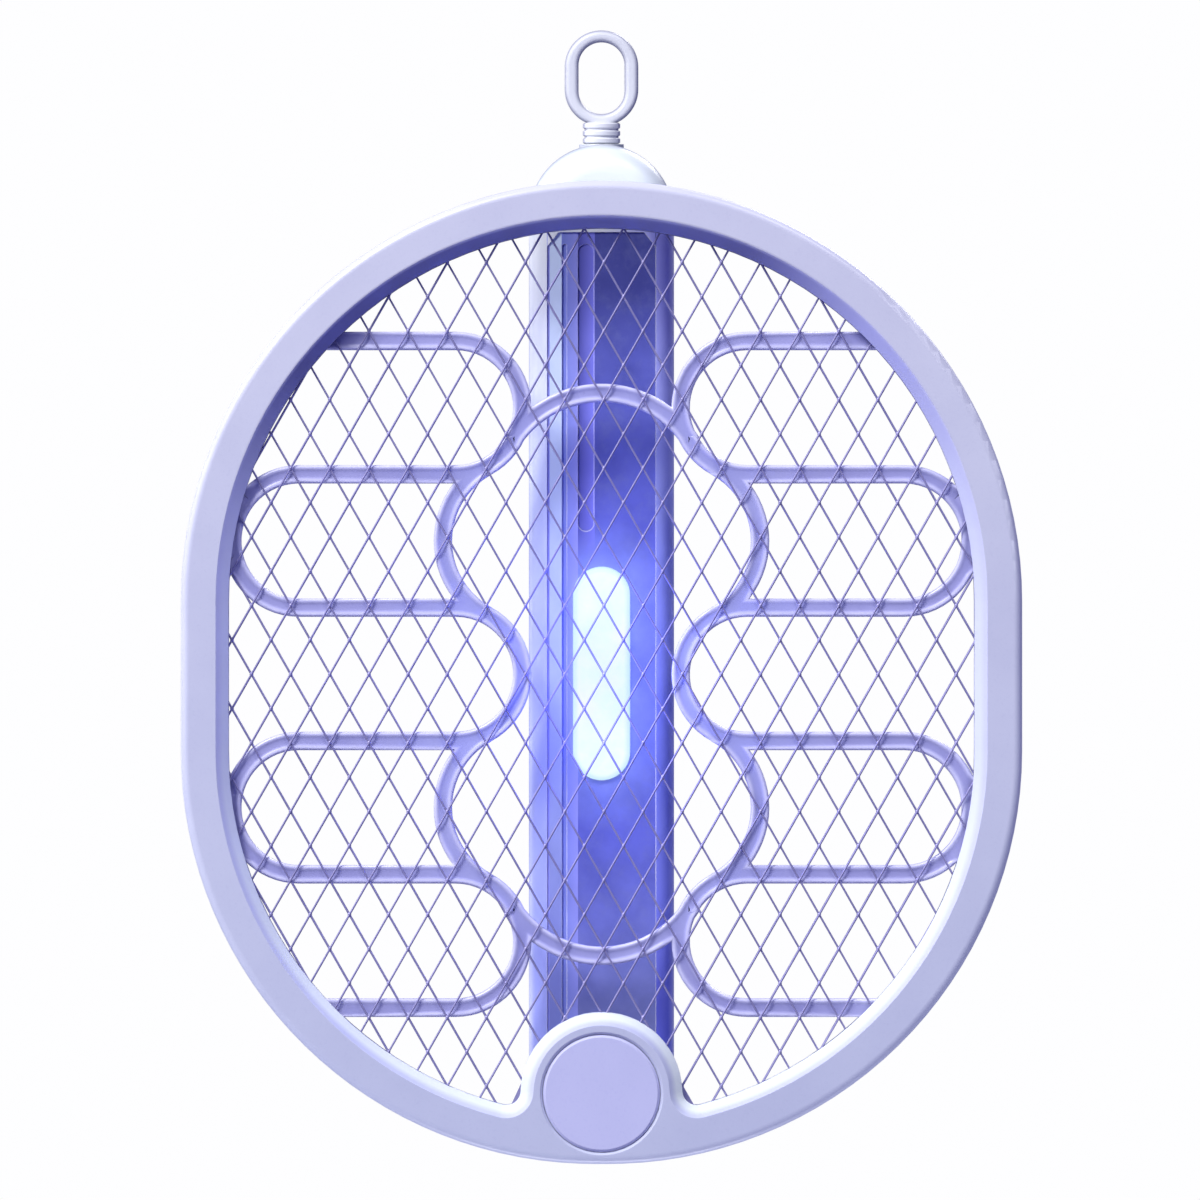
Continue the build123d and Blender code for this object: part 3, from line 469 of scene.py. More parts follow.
def moulded(name, colour, shade, rough=0.36, grain=0.10, coat=0.15, tint=None):
    """Satin moulded plastic: cloudy colour, fine eroded grain, paler sharp edges and a thin gloss."""
    material, tree, bsdf = new_material(name)
    place = object_place(tree)
    clouds = noise(tree, place, CLOUD_SCALE, 4.0)
    base = blend_colour(tree, spread(tree, clouds, 0.35, 0.65, 0.0, 1.0), colour, shade)
    specks = spread(tree, noise(tree, place, SPECK_SCALE, 2.0), 0.55, 0.75, 0.0, 0.10)
    base = blend_colour(tree, specks, base, shade, "MULTIPLY")
    if tint is not None:
        base = tint(tree, place, base)
    pale = [min(1.0, c * 1.25 + 0.06) for c in colour]
    paler_edges_mask = maths(tree, "MULTIPLY", edge_mask(tree, PALER_EDGE_RADIUS), cloudiness(tree, clouds, 0.25, 0.8))
    base = blend_colour(tree, paler_edges_mask, base, pale)
    tree.links.new(base, bsdf.inputs["Base Color"])
    patches = noise(tree, place, PATCH_SCALE, 3.0)
    tree.links.new(cloudiness(tree, patches, rough - 0.05, rough + 0.07), bsdf.inputs["Roughness"])
    rounded = add_node(tree, "ShaderNodeBevel", {"Radius": SOFT_EDGE}, samples=4).outputs["Normal"]
    bump = add_node(
        tree,
        "ShaderNodeBump",
        {
            "Height": noise(tree, place, GRAIN_SCALE, 2.0),
            "Strength": grain,
            "Distance": 0.1 * MM,
            "Normal": rounded,
        },
    )
    tree.links.new(bump.outputs["Normal"], bsdf.inputs["Normal"])
    bsdf.inputs["Coat Weight"].default_value = coat
    bsdf.inputs["Coat Roughness"].default_value = 0.25
    return material


def metal(
    name, colour, rough=0.30, streak=(1.0, 1.0, 1.0), scale=900.0, grime=(0.2, 0.2, 0.22), bare=1.0
):
    """Drawn or stamped metal with fine streaks and slight tarnish."""
    material, tree, bsdf = new_material(name)
    place = object_place(tree)
    stretched = add_node(tree, "ShaderNodeMapping", {"Vector": place, "Scale": streak}).outputs["Vector"]
    lines = noise(tree, stretched, scale, 3.0)
    tarnish = spread(tree, noise(tree, place, TARNISH_SCALE, 4.0), 0.45, 0.75, 0.0, 0.45)
    base = blend_colour(tree, tarnish, colour, grime)
    base = blend_colour(tree, cloudiness(tree, lines, 0.0, 0.25), base, [0.6 * c for c in colour])
    tree.links.new(base, bsdf.inputs["Base Color"])
    bsdf.inputs["Metallic"].default_value = bare
    tree.links.new(cloudiness(tree, lines, rough - 0.06, rough + 0.12), bsdf.inputs["Roughness"])
    bump = add_node(tree, "ShaderNodeBump", {"Height": lines, "Strength": 0.15, "Distance": 0.05 * MM})
    tree.links.new(bump.outputs["Normal"], bsdf.inputs["Normal"])
    return material


def lamp_distance(tree, place):
    """Distance from the lamp's upright centre line, in metres."""
    away = add_node(tree, "ShaderNodeVectorMath", {0: place, 1: LENS_CENTRE}, operation="SUBTRACT")
    parts = add_node(tree, "ShaderNodeSeparateXYZ", {0: away.outputs[0]})
    along = maths(tree, "ABSOLUTE", parts.outputs["Z"])
    straight = LENS_HALF_HEIGHT - LENS_HALF_WIDTH
    past_end = maths(tree, "MAXIMUM", maths(tree, "SUBTRACT", along, straight), 0.0)
    flat = add_node(tree, "ShaderNodeCombineXYZ", {"X": parts.outputs["X"], "Z": past_end})
    length = add_node(tree, "ShaderNodeVectorMath", {0: flat.outputs[0]}, operation="LENGTH")
    return length.outputs["Value"]


def inset_pattern(tree, x, z):
    """How far a point of the head lies inside its outer outline, as a shader value."""
    side = maths(tree, "ABSOLUTE", x)
    above = maths(tree, "MAXIMUM", maths(tree, "SUBTRACT", z, ARCH_Z), 0.0)
    below = maths(tree, "MAXIMUM", maths(tree, "SUBTRACT", SIDE_Z, z), 0.0)
    outward = maths(tree, "MAXIMUM", maths(tree, "SUBTRACT", side, SIDE_X), 0.0)
    insets = []
    for radius, sideways, upright in ((TOP_R, side, above), (SIDE_R, outward, below)):
        reach = add_node(tree, "ShaderNodeCombineXYZ", {"X": sideways, "Y": upright}).outputs[0]
        length = add_node(tree, "ShaderNodeVectorMath", {0: reach}, operation="LENGTH").outputs["Value"]
        insets.append(maths(tree, "SUBTRACT", radius, length))
    return maths(tree, "MINIMUM", *insets)


def head_tint_and_painted_light(tree, place, base):
    """The head is a little bluer lower down. Painted light and shade on its inner bevel: dark indigo shade
    at the top, lighter on the upper right, and pale light on its lower part.
    """
    x, y, z = add_node(tree, "ShaderNodeSeparateXYZ", {0: place}).outputs
    lower = spread(tree, z, *HEAD_LOWER_SPAN, 0.0, 1.0)
    base = blend_colour(tree, lower, base, HEAD_LOWER, "MULTIPLY")
    inset = inset_pattern(tree, x, z)
    on_bevel = spread(tree, inset, *BEVEL_INSETS, 0.0, 1.0)
    # Painted light: the outer half of the lower inner bevel is paler, as if lit from above.
    down_bevel = spread(tree, y, *BEVEL_PAINTED_LIGHT_DEPTHS, 0.0, 1.0)
    inner_side = maths(tree, "MULTIPLY", down_bevel, maths(tree, "GREATER_THAN", inset, BEVEL_PAINTED_LIGHT_INSET))
    lower_part = spread(tree, z, *BEVEL_PAINTED_LIGHT_SPAN, 0.0, 1.0)
    base = blend_colour(tree, maths(tree, "MULTIPLY", inner_side, lower_part), base, BEVEL_PAINTED_LIGHT)
    # Painted shade on the upper inner bevel: dark indigo, lighter towards the right.
    upper = spread(tree, z, *BEVEL_PAINTED_SHADE_SPAN, 0.0, 1.0, smooth=True)
    bluer = spread(tree, x, *BEVEL_PAINTED_SHADE_RIGHT_SPAN, 0.0, 1.0, smooth=True)
    dark = blend_colour(tree, bluer, BEVEL_PAINTED_SHADE, BEVEL_PAINTED_SHADE_RIGHT)
    return blend_colour(tree, maths(tree, "MULTIPLY", on_bevel, upper), base, dark, "MULTIPLY")


def guard_painted_light(tree, place, base):
    """Painted light on a rib: bluer near the lamp as painted lamp light, and paler along its rounded edges
    than in its hollow as a painted highlight.
    """
    edge = add_node(tree, "ShaderNodeAttribute", attribute_name="painted_edge_highlight").outputs["Fac"]
    uneven = cloudiness(tree, noise(tree, place, 240.0, 3.0), 0.7, 1.0)
    # Painted blue lamp light on the ribs, strongest next to the lamp.
    near_lamp = spread(tree, lamp_distance(tree, place), *GUARD_LAMP_LIGHT_SPAN, 0.6, 0.0)
    base = blend_colour(tree, near_lamp, base, GUARD_LAMP_LIGHT)
    # Painted highlight along the rounded rib edges, a little uneven.
    return blend_colour(tree, maths(tree, "MULTIPLY", edge, uneven), base, GUARD_EDGE_HIGHLIGHT)


def ring_painted_shade(tree, place, base):
    """Painted shade: the hanging ring and its neck are greyer along their sides, as a darker outline."""
    y = add_node(tree, "ShaderNodeSeparateXYZ", {0: place}).outputs["Y"]
    # Painted shade on the sides of the ring and neck.
    side = spread(tree, maths(tree, "ABSOLUTE", y), *RING_SIDE_SHADE_SPAN, 1.0, 0.0)
    return blend_colour(tree, side, base, RING_SIDE_SHADE, "MULTIPLY")


def panel_colour_and_painted_light(tree, place, x, z):
    """The sunk panel: hazy violet darkened by painted shade of the head in front, less so towards its lower
    end, with painted blue lamp light and glow near the lamp, painted shade in the groove and across the
    flute's left, and painted light on the flute's right and the strips on its left.
    """
    from_lamp = lamp_distance(tree, place)
    # Painted shade of the head in front darkens the panel's violet, less towards its lower end.
    low_end = spread(tree, z, LENS_LOW.z, PANEL_BOTTOM, 0.0, 1.0)
    far = blend_colour(tree, low_end, PANEL_SHADE_FAR, PANEL_SHADE_LOW_END)
    # Painted blue lamp light and a painted glow round the lamp.
    flat = blend_colour(tree, spread(tree, from_lamp, *PANEL_LAMP_LIGHT_SPAN, 1.0, 0.0), far, PANEL_LAMP_LIGHT)
    flat = blend_colour(tree, spread(tree, from_lamp, *PAINTED_GLOW_SPAN, 0.8, 0.0), flat, PANEL_PAINTED_GLOW)
    clouds = spread(tree, noise(tree, place, 70.0, 5.0, 0.6), 0.35, 0.65, 0.0, 0.35)
    flat = blend_colour(tree, clouds, flat, PANEL_CLOUD)
    haze = spread(tree, noise(tree, place, 160.0, 6.0, 0.7), 0.48, 0.70, 0.0, 0.45)
    flat = blend_colour(tree, haze, flat, PANEL_HAZE)
    # Painted shade on the flute's left side and painted light on its right side.
    above_lamp = spread(tree, z, *FLUTE_END_SPAN, 0.0, 1.0)
    flute = spread(tree, x, FLUTE_LEFT, FLUTE_LEFT + FLUTE_WIDTH, 0.0, 1.0)
    in_flute = maths(tree, "MULTIPLY", maths(tree, "LESS_THAN", flute, 0.999), above_lamp)
    flat = blend_colour(tree, in_flute, flat, blend_colour(tree, flute, FLUTE_PAINTED_SHADE, FLUTE_PAINTED_LIGHT))
    # Painted shade in the groove, fading to painted light on the strip beside it.
    across = spread(tree, x, GROOVE_X, FLUTE_LEFT, 0.0, 1.0)
    strip = blend_colour(tree, across, GROOVE_PAINTED_SHADE, PANEL_STRIP_PAINTED_LIGHT)
    flat = blend_colour(tree, maths(tree, "LESS_THAN", x, FLUTE_LEFT), flat, strip)
    # Painted light on the strips at the panel's left edge, palest at the top.
    down_strip = spread(tree, z, *EDGE_STRIP_SPAN, 0.0, 1.0)
    edge_strip = blend_colour(tree, down_strip, EDGE_STRIP_PAINTED_LIGHT_TOP, EDGE_STRIP_PAINTED_LIGHT_LOW)
    flat = blend_colour(tree, maths(tree, "LESS_THAN", x, EDGE_STRIP_RIGHT), flat, edge_strip)
    return blend_colour(tree, maths(tree, "LESS_THAN", x, EDGE_STRIP_LEFT), flat, PANEL_STRIP_PAINTED_LIGHT)


def handle_tint_and_painted_light(tree, place, base):
    """The front shell's sunk panel; painted light and shade on the pale rim round it: the lamp's blue light,
    a darker right side, and a darker dome with darker sides. The rim's front is also darker and bluer
    towards the bottom.
    """
    x, y, z = add_node(tree, "ShaderNodeSeparateXYZ", {0: place}).outputs
    # Painted blue lamp light on the rim, strongest next to the lamp.
    rim_lamp_light = spread(tree, lamp_distance(tree, place), *RIM_LAMP_LIGHT_SPAN, 0.8, 0.0)
    base = blend_colour(tree, rim_lamp_light, base, RIM_LAMP_LIGHT)
    front = spread(tree, y, *RIM_FRONT_SPAN, 1.0, 0.0)
    front = maths(tree, "MULTIPLY", front, maths(tree, "LESS_THAN", z, DOME_BOTTOM))
    # Painted shade: the dome above the head is darker than the rest of the shell.
    base = blend_colour(tree, maths(tree, "GREATER_THAN", z, DOME_BOTTOM), base, DOME_PAINTED_SHADE, "MULTIPLY")
    # Painted shade along the dome's sides, as an outline.
    at_dome = spread(tree, z, *DOME_SPAN, 0.0, 1.0)
    side = spread(tree, y, *DOME_SIDE_SHADE_SPAN, 0.0, 1.0)
    base = blend_colour(tree, maths(tree, "MULTIPLY", at_dome, side), base, DOME_SIDE_SHADE, "MULTIPLY")
    right = spread(tree, x, 0.0, PANEL_HALF, 0.0, 1.0)
    lower = spread(tree, z, *RIM_LOWER_SPAN, 0.0, 1.0)
    base = blend_colour(tree, maths(tree, "MULTIPLY", front, lower), base, RIM_LOWER, "MULTIPLY")
    # Painted shade on the right of the rim's front, lighter near the lamp.
    right_shade = blend_colour(tree, rim_lamp_light, RIM_RIGHT_SHADE_FAR, RIM_RIGHT_SHADE)
    base = blend_colour(tree, maths(tree, "MULTIPLY", front, right), base, right_shade, "MULTIPLY")
    on_panel = maths(tree, "GREATER_THAN", y, PANEL_DEPTHS[0])
    for test in (
        maths(tree, "LESS_THAN", y, PANEL_DEPTHS[1]),
        maths(tree, "LESS_THAN", maths(tree, "ABSOLUTE", x), PANEL_EDGE),
        maths(tree, "LESS_THAN", z, PANEL_TOP),
        maths(tree, "GREATER_THAN", z, PANEL_BOTTOM),
    ):
        on_panel = maths(tree, "MULTIPLY", on_panel, test)
    return blend_colour(tree, on_panel, base, panel_colour_and_painted_light(tree, place, x, z))


def lens_material():
    """The frosted lamp window, lit from behind by its row of chips."""
    material, tree, bsdf = new_material("lens_frosted")
    place = object_place(tree)
    spots = add_node(
        tree,
        "ShaderNodeTexWave",
        {"Vector": place, "Scale": 0.5 / CHIP_PITCH / 10, "Distortion": 0.0},
        wave_type="BANDS",
        bands_direction="Z",
    ).outputs["Fac"]
    frost = noise(tree, place, 900.0, 3.0)
    cloud = noise(tree, place, 120.0, 3.0)
    glow = blend_colour(tree, cloudiness(tree, cloud, 0.0, 1.0), GLOW_COOL, GLOW_WARM)
    edge = spread(tree, lamp_distance(tree, place), *LENS_EDGE_SPAN, 0.0, 1.0)
    glow = blend_colour(tree, edge, glow, GLOW_EDGE)
    tree.links.new(glow, bsdf.inputs["Emission Color"])
    chips = spread(tree, spots, 0.0, 1.0, 0.98, 1.06)
    power = maths(tree, "MULTIPLY", chips, spread(tree, frost, 0, 1, 0.96, 1.04))
    tree.links.new(power, bsdf.inputs["Emission Strength"])
    tree.links.new(blend_colour(tree, cloud, LENS_DARK, LENS_PALE), bsdf.inputs["Base Color"])
    bsdf.inputs["Roughness"].default_value = 0.45
    bump = add_node(tree, "ShaderNodeBump", {"Height": frost, "Strength": 0.2, "Distance": 0.05 * MM})
    tree.links.new(bump.outputs["Normal"], bsdf.inputs["Normal"])
    return material


def dress(node, material):
    """Gives a CAD node its finished material."""
    slots = NODES[node].material_slots
    if not slots:
        NODES[node].data.materials.append(material)
    for slot in slots:
        slot.material = material


# ---------------------------------------------------------------- materials
# The head: colours that the base is blended with or multiplied by, and where they begin and end. The inner
# bevel's colours are painted shade and painted light, and the ribs' are painted lamp light and painted edge
# highlights.
HEAD_LOWER = (0.91, 0.945, 1.0)
HEAD_LOWER_SPAN = (HEAD_HIGH.z - 40 * MM, HEAD_LOW.z + 10 * MM)
BEVEL_INSETS = (8.2 * MM, 9.4 * MM)
# Painted shade on the upper inner bevel, dark at the top and lighter on the right.
BEVEL_PAINTED_SHADE = (0.20, 0.19, 0.34)
BEVEL_PAINTED_SHADE_SPAN = (ARCH_Z + 12 * MM, ARCH_Z + 66 * MM)
BEVEL_PAINTED_SHADE_RIGHT = (0.80, 0.80, 1.0)
BEVEL_PAINTED_SHADE_RIGHT_SPAN = (32 * MM, 70 * MM)
# Painted light on the lower inner bevel.
BEVEL_PAINTED_LIGHT = (0.78, 0.84, 0.82)
BEVEL_PAINTED_LIGHT_INSET = 7.5 * MM
BEVEL_PAINTED_LIGHT_DEPTHS = (HEAD_LOW.y + 0.6 * MM, HEAD_LOW.y + 1.8 * MM)
BEVEL_PAINTED_LIGHT_SPAN = (ARCH_Z + 45 * MM, PIVOT.z + 20 * MM)
# Painted highlight on the rib edges, and painted blue lamp light on the ribs.
GUARD_EDGE_HIGHLIGHT = (0.68, 0.68, 0.93)
GUARD_LAMP_LIGHT = (0.44, 0.50, 1.0)
GUARD_LAMP_LIGHT_SPAN = (8 * MM, 60 * MM)

# The hanging ring's painted side shade, and the handle's pale rim with its painted lamp light and painted
# shade.
RING_SIDE_SHADE = (0.50, 0.50, 0.58)
RING_SIDE_SHADE_SPAN = (1.9 * MM, 2.45 * MM)
# Painted blue lamp light on the rim.
RIM_LAMP_LIGHT = (0.30, 0.36, 0.84)
RIM_LAMP_LIGHT_SPAN = (8 * MM, 88 * MM)
# Painted shade on the rim's right side, near and far from the lamp.
RIM_RIGHT_SHADE = (0.98, 1.0, 1.0)
RIM_RIGHT_SHADE_FAR = (0.45, 0.44, 1.0)
RIM_FRONT_SPAN = (HANDLE_LOW.y + 2.5 * MM, HANDLE_LOW.y + 7 * MM)
RIM_LOWER = (0.42, 0.45, 0.92)
RIM_LOWER_SPAN = (LENS_CENTRE.z + 40 * MM, PANEL_BOTTOM)
# Painted shade on the dome.
DOME_PAINTED_SHADE = (0.70, 0.73, 0.75)
DOME_BOTTOM = PANEL_TOP + 6 * MM
DOME_SPAN = (PANEL_TOP, PANEL_TOP + 14 * MM)
# Painted shade along the dome's sides.
DOME_SIDE_SHADE = (0.58, 0.58, 0.64)
DOME_SIDE_SHADE_SPAN = (HANDLE_LOW.y + 3 * MM, HANDLE_LOW.y + 6 * MM)

# The handle's sunk panel: painted shade, painted lamp light and glow, painted shade in the groove and flute,
# and painted light on the flute and the strips on its left.
PANEL_SHADE_FAR = (0.068, 0.077, 0.30)
PANEL_LAMP_LIGHT = (0.136, 0.157, 0.61)
PANEL_LAMP_LIGHT_SPAN = (8 * MM, 105 * MM)
PANEL_SHADE_LOW_END = (0.30, 0.33, 0.52)
# Painted glow round the lamp.
PANEL_PAINTED_GLOW = (0.26, 0.32, 0.68)
PAINTED_GLOW_SPAN = (8 * MM, 20 * MM)
PANEL_HAZE = (0.17, 0.19, 0.44)
PANEL_CLOUD = (0.045, 0.05, 0.23)
# Painted shade in the groove and painted light on the strips.
GROOVE_PAINTED_SHADE = (0.20, 0.24, 0.64)
PANEL_STRIP_PAINTED_LIGHT = (0.30, 0.315, 0.76)
EDGE_STRIP_PAINTED_LIGHT_TOP = (0.72, 0.84, 1.0)
EDGE_STRIP_PAINTED_LIGHT_LOW = (0.22, 0.25, 0.60)
EDGE_STRIP_SPAN = (PANEL_TOP, PANEL_BOTTOM + 20 * MM)
EDGE_STRIP_RIGHT = GROOVE_X - 0.7 * MM
EDGE_STRIP_LEFT = 0.6 * MM - PANEL_HALF
# Painted light and shade across the flute.
FLUTE_PAINTED_LIGHT = (0.235, 0.24, 0.78)
FLUTE_PAINTED_SHADE = (0.075, 0.08, 0.36)
FLUTE_END_SPAN = (LENS_HIGH.z, LENS_HIGH.z + 12 * MM)
PANEL_DEPTHS = (HANDLE_LOW.y + 0.4 * MM, HANDLE_LOW.y + 1.6 * MM)
PANEL_EDGE = PANEL_HALF + 0.1 * MM

# The lamp's window.
GLOW_COOL = (0.72, 0.88, 0.78)
GLOW_WARM = (0.86, 0.88, 0.76)
GLOW_EDGE = (0.55, 0.78, 0.90)
LENS_EDGE_SPAN = (5.6 * MM, 7.1 * MM)
LENS_DARK = (0.08, 0.10, 0.10)
LENS_PALE = (0.12, 0.14, 0.14)

# The head, the guards, the handle's front shell and the hanging ring carry painted light and shade in their
# tints.
HEAD = moulded("head_lavender", (0.64, 0.65, 0.76), (0.60, 0.61, 0.73), tint=head_tint_and_painted_light)
CAP = moulded("cap_lavender", (0.61, 0.62, 0.86), (0.58, 0.59, 0.83))
GUARD = moulded(
    "guard_lavender", (0.42, 0.42, 0.72), (0.34, 0.34, 0.64), rough=0.3, coat=0.4, tint=guard_painted_light
)
HANDLE_FRONT_SHELL = moulded("handle_front_pale", (0.80, 0.83, 0.85), (0.77, 0.80, 0.83), tint=handle_tint_and_painted_light)
HANDLE_REAR_SHELL = moulded("handle_rear_pale", (0.74, 0.75, 0.92), (0.70, 0.71, 0.89))
RING = moulded("ring_pale", (0.74, 0.76, 0.78), (0.70, 0.72, 0.75), tint=ring_painted_shade)
BUTTON = moulded("button_violet", (0.20, 0.20, 0.56), (0.17, 0.17, 0.50), rough=0.45)
NYLON = moulded("washer_nylon", (0.84, 0.84, 0.80), (0.78, 0.78, 0.74))
RUBBER = moulded("flap_rubber", (0.17, 0.17, 0.42), (0.15, 0.15, 0.38), rough=0.62, grain=0.25, coat=0.0)
BLACK = moulded("chip_black", (0.020, 0.020, 0.024), (0.028, 0.028, 0.03), rough=0.5)
BOARD = moulded("board_green", (0.010, 0.10, 0.035), (0.014, 0.14, 0.05), rough=0.3, coat=0.5)
WRAP = moulded("cell_wrap", (0.02, 0.07, 0.32), (0.025, 0.085, 0.36), rough=0.25, coat=0.5)
LEAD = moulded("lead_red", (0.42, 0.02, 0.02), (0.36, 0.02, 0.02), rough=0.45)
TAPE = moulded("coil_tape", (0.68, 0.42, 0.03), (0.60, 0.36, 0.03), rough=0.3)
FILM = moulded("capacitor_film", (0.36, 0.03, 0.012), (0.32, 0.028, 0.012), rough=0.3)
PACKAGE = moulded("led_package", (0.86, 0.86, 0.78), (0.80, 0.80, 0.70), rough=0.35)
CLEAR = moulded("light_pipe_clear", (0.80, 0.86, 0.86), (0.75, 0.82, 0.82), rough=0.12, grain=0.02, coat=1.0)
WIRE = metal(
    "mesh_wire", (0.34, 0.32, 0.56), rough=0.42, scale=500.0, grime=(0.20, 0.19, 0.38), bare=0.4
)
SCREW = metal("screw_zinc", (0.62, 0.62, 0.66), rough=0.28)
SPRING = metal("spring_blued", (0.30, 0.31, 0.36), rough=0.32)
SHAFT = metal("shaft_turned", (0.68, 0.68, 0.70), rough=0.22, streak=(1.0, 12.0, 1.0))
BRASS = metal("contact_brass", (0.80, 0.60, 0.25), rough=0.25)
NICKEL = metal("tab_nickel", (0.72, 0.70, 0.66), rough=0.22)
LENS = lens_material()

FINISHES = {
    HEAD: ("front_frame", "rear_frame"),
    CAP: ("pivot_cap",),
    HANDLE_FRONT_SHELL: ("handle_front_shell",),
    HANDLE_REAR_SHELL: ("handle_rear_shell",),
    RING: ("hang_ring",),
    BUTTON: ("zap_button", "mode_knob"),
    NYLON: ("thrust_washer",),
    RUBBER: ("usb_flap",),
    BLACK: ("board_parts", "tact_switch"),
    BOARD: ("main_board", "uv_led_board"),
    WRAP: ("battery_cell",),
    LEAD: ("battery_leads", "hv_leads"),
    TAPE: ("hv_transformer",),
    FILM: ("hv_capacitors",),
    PACKAGE: ("uv_leds",),
    CLEAR: ("light_pipe",),
    SCREW: ("head_screws", "handle_screws", "stop_pin"),
    SPRING: ("friction_spring", "retaining_washer", "retaining_ring"),
    SHAFT: ("pivot_shaft",),
    BRASS: ("contact_strips",),
    NICKEL: ("battery_tabs", "slide_switch", "usb_socket"),
    LENS: ("lamp_lens",),
}
for finish, members in FINISHES.items():
    for member in members:
        dress(member, finish)

# ---------------------------------------------------------------- pieces that replace CAD nodes
NET_PIECES = []
for net_name, net_node, net_slot in (
    ("front_wire_net", "front_mesh", "mesh_aluminium"),
    ("middle_wire_net", "hv_grid", "grid_steel"),
    ("rear_wire_net", "rear_mesh", "mesh_aluminium"),
):
    net_piece = wire_net(net_name, net_node)
    net_piece.data.materials.append(WIRE)
    NET_PIECES.append(net_piece)

for guard_name, guard_node, guard_sign in (
    ("front_finger_guard", "front_rib_guard", -1),
    ("rear_finger_guard", "rear_rib_guard", 1),
):
    guard_piece = soft_guard(guard_name, guard_node, guard_sign)
    guard_piece.data.materials.clear()
    guard_piece.data.materials.append(GUARD)


# ---------------------------------------------------------------- stage, light and camera
FLOOR_RADIUS = 1.3
FLOOR_Z = -1.7
FLOOR_PALE = (0.66, 0.67, 0.72)
FLOOR_SHADE = (0.63, 0.64, 0.69)
WHITE = (1.0, 1.0, 1.0)
LIGHT_TARGET = (0, -0.02, -0.15)
# Name, place, size, power and colour.
STUDIO_LIGHTS = (
    ("key", (-1.22, -1.74, 1.97), 0.9, 80.0, WHITE),
    ("second", (1.11, -1.58, 2.15), 0.9, 25.0, WHITE),
    ("side", (-1.76, -0.57, 0.60), 1.6, 24.0, WHITE),
    ("rim", (-2.2, 0.42, 0.30), 0.7, 5.0, WHITE),
    ("back", (1.2, 1.9, 1.6), 1.2, 42.0, WHITE),
    ("back_fill", (-1.6, 1.6, 0.2), 1.2, 8.0, (0.9, 0.92, 1.0)),
)
SURROUND_LIGHT = (0.30, 0.30, 1.0)
SURROUND_POWER = 0.28
BACKDROP = (0.99, 0.99, 1.0)
GLOW_FORWARD = 22 * MM
GLOW_STEP = 16 * MM
GLOW_RADIUS = 6 * MM
GLOW_POWER = 0.016
GLOW_COLOUR = (0.10, 0.14, 1.0)
NET_LIGHT_POWER = 0.012
NET_LIGHT_COLOUR = (0.85, 1.0, 1.0)
HANDLE_LIGHT_PLACE = (-1.74, -2.07, 1.12)
HANDLE_LIGHT_SIZE = 1.0
HANDLE_LIGHT_POWER = 55.0
UNDER_LIGHT_Y = HEAD_LOW.y + 5 * MM
UNDER_LIGHT_Z = -1.2
UNDER_LIGHT_SIZES = (0.8, 0.02)
UNDER_LIGHT_POWER = 6.0
UNDER_LIGHT_COLOUR = (0.92, 0.93, 1.0)
CAMERA_DISTANCE = 8.0
FRAMED = 300 * MM
SENSOR_MM = 36.0
CAMERA_X = -0.375 * MM
CAMERA_Z = -140 * MM


def floor():
    """A plain pale round floor below the hanging swatter."""
    bm = bmesh.new()
    bmesh.ops.create_circle(bm, cap_ends=True, segments=96, radius=FLOOR_RADIUS)
    piece = piece_from(bm, "floor")
    piece.location = (0, 0, FLOOR_Z)
    material, tree, bsdf = new_material("floor_pale")
    shade = cloudiness(tree, noise(tree, object_place(tree), 3.0), 0.0, 1.0)
    tree.links.new(blend_colour(tree, shade, FLOOR_PALE, FLOOR_SHADE), bsdf.inputs["Base Color"])
    bsdf.inputs["Roughness"].default_value = 0.8
    piece.data.materials.append(material)


def new_lamp(name, kind, power, colour):
    """A light object that the camera doesn't see."""
    data = bpy.data.lights.new(name, kind)
    data.energy = power
    data.color = colour
    lamp = bpy.data.objects.new(name, data)
    lamp.visible_camera = False
    bpy.context.scene.collection.objects.link(lamp)
    return lamp


def area_light(name, place, aim, size, power, colour):
    """A soft square light that faces a point."""
    lamp = new_lamp(name, "AREA", power, colour)
    lamp.data.shape = "SQUARE"
    lamp.data.size = size
    lamp.location = place
    lamp.rotation_euler = (Vector(aim) - Vector(place)).to_track_quat("-Z", "Y").to_euler()
    return lamp


def light_only(lamp, group_name, lit, blocks=False):
    """Lets a light reach some objects only, and if asked, lets only these cast its shadows."""
    group = bpy.data.collections.new(group_name)
    for thing in lit:
        group.objects.link(thing)
    lamp.light_linking.receiver_collection = group
    if blocks:
        lamp.light_linking.blocker_collection = group


def studio():
    """Soft light from above, mostly from the left, some from the back, and dim violet light all round."""
    for name, place, size, power, colour in STUDIO_LIGHTS:
        area_light(name, place, LIGHT_TARGET, size, power, colour)
    world = bpy.data.worlds.new("pale_world")
    world.use_nodes = True
    tree = world.node_tree
    background = tree.nodes["Background"]
    seen = add_node(tree, "ShaderNodeLightPath").outputs["Is Camera Ray"]
    tree.links.new(blend_colour(tree, seen, SURROUND_LIGHT, BACKDROP), background.inputs["Color"])
    tree.links.new(spread(tree, seen, 0.0, 1.0, SURROUND_POWER, 1.0), background.inputs["Strength"])
    bpy.context.scene.world = world
    bpy.context.scene.view_settings.view_transform = "Standard"


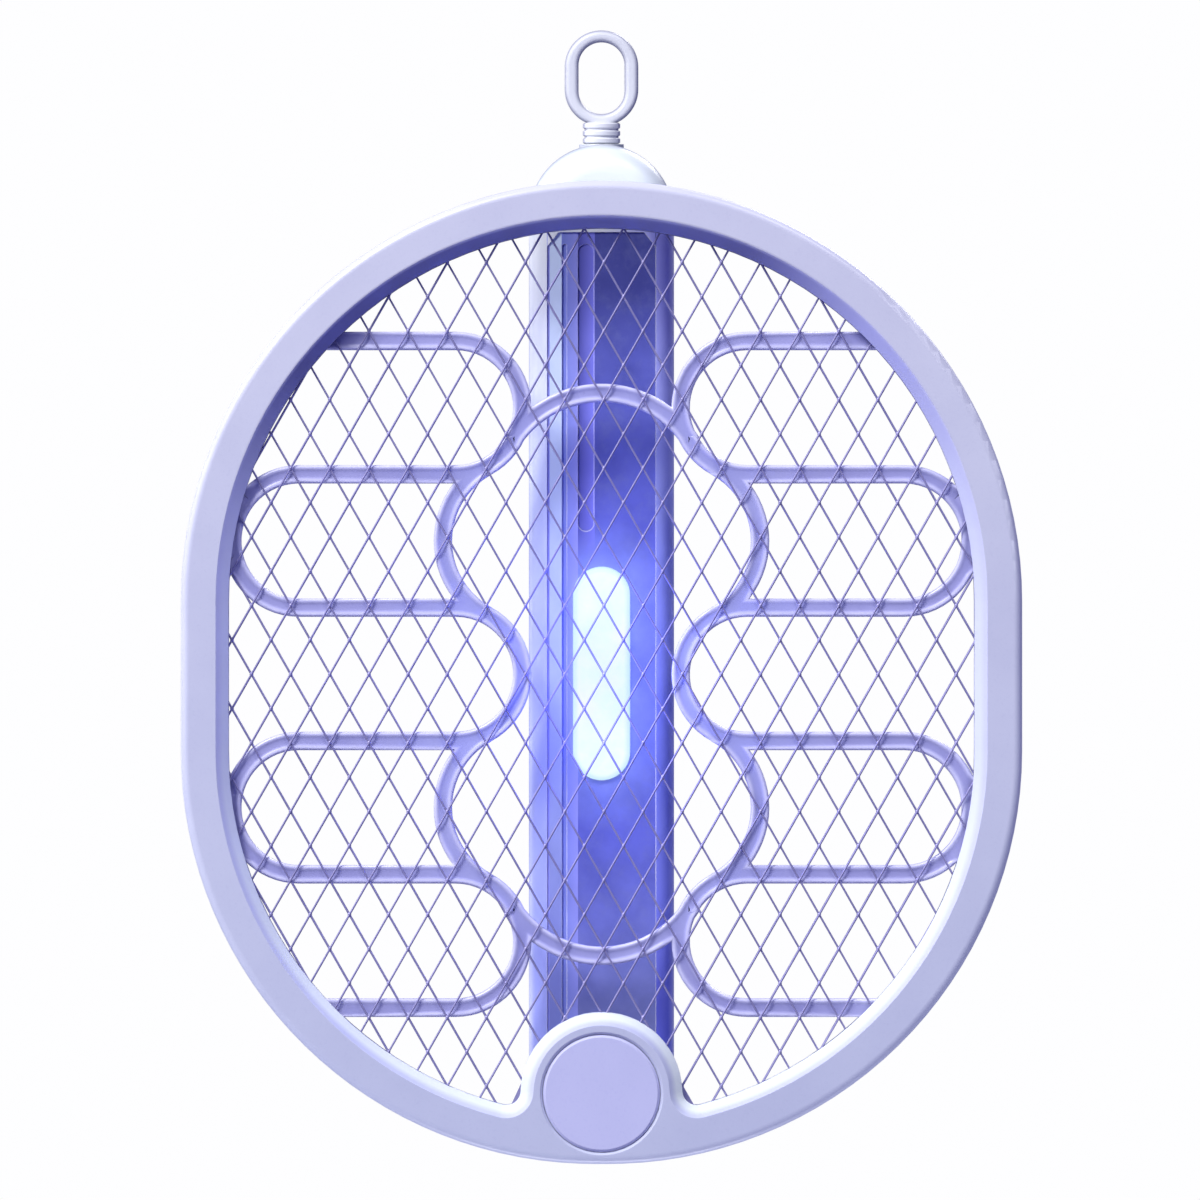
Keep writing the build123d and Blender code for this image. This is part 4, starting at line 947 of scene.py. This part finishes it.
def lamp_glow():
    """Blue light from the lamp window on what stands round it, from three small round lights."""
    x, y, z = LENS_CENTRE
    for k in (-1, 0, 1):
        lamp = new_lamp(f"lamp_glow_{k + 1}", "POINT", GLOW_POWER, GLOW_COLOUR)
        lamp.data.shadow_soft_size = GLOW_RADIUS
        lamp.data.specular_factor = 0.15
        lamp.location = (x, LENS_LOW.y - GLOW_FORWARD, z + k * GLOW_STEP)


def net_light():
    """What the lamp's window sends into the nets in front of it, as a small light for the nets alone."""
    lamp = new_lamp("net_light", "AREA", NET_LIGHT_POWER, NET_LIGHT_COLOUR)
    lamp.data.shape = "RECTANGLE"
    lamp.data.size = 1.6 * LENS_HALF_WIDTH
    lamp.data.size_y = 1.8 * LENS_HALF_HEIGHT
    lamp.data.spread = math.radians(70)
    lamp.location = (LENS_CENTRE.x, HEAD_LOW.y - 1.0 * MM, LENS_CENTRE.z)
    lamp.rotation_euler = (math.radians(-90), 0, 0)
    light_only(lamp, "lit_nets", NET_PIECES)


def handle_light():
    """Soft light from the left on the handle's front alone, which the head in front doesn't shade."""
    lamp = area_light(
        "handle_light", HANDLE_LIGHT_PLACE, LIGHT_TARGET, HANDLE_LIGHT_SIZE, HANDLE_LIGHT_POWER, WHITE
    )
    light_only(lamp, "lit_handle", [NODES["handle_front_shell"]], blocks=True)


def under_light():
    """Soft light from straight below on the front frame's outer rounding."""
    wide, deep = UNDER_LIGHT_SIZES
    place = (0, UNDER_LIGHT_Y, UNDER_LIGHT_Z)
    aim = (0, UNDER_LIGHT_Y, 0)
    lamp = area_light("under_light", place, aim, wide, UNDER_LIGHT_POWER, UNDER_LIGHT_COLOUR)
    lamp.data.shape = "RECTANGLE"
    lamp.data.size_y = deep
    light_only(lamp, "lit_frame", [NODES["front_frame"]], blocks=True)


def camera():
    """A long lens straight in front of the head, which frames 300 mm of the object's plane."""
    data = bpy.data.cameras.new("camera")
    data.sensor_width = SENSOR_MM
    data.lens = SENSOR_MM * CAMERA_DISTANCE / FRAMED
    data.clip_end = 50.0
    made = bpy.data.objects.new("camera", data)
    made.location = (CAMERA_X, HEAD_LOW.y - CAMERA_DISTANCE, CAMERA_Z)
    made.rotation_euler = (math.radians(90), 0, 0)
    bpy.context.scene.collection.objects.link(made)
    bpy.context.scene.camera = made


floor()
studio()
lamp_glow()
net_light()
handle_light()
under_light()
camera()
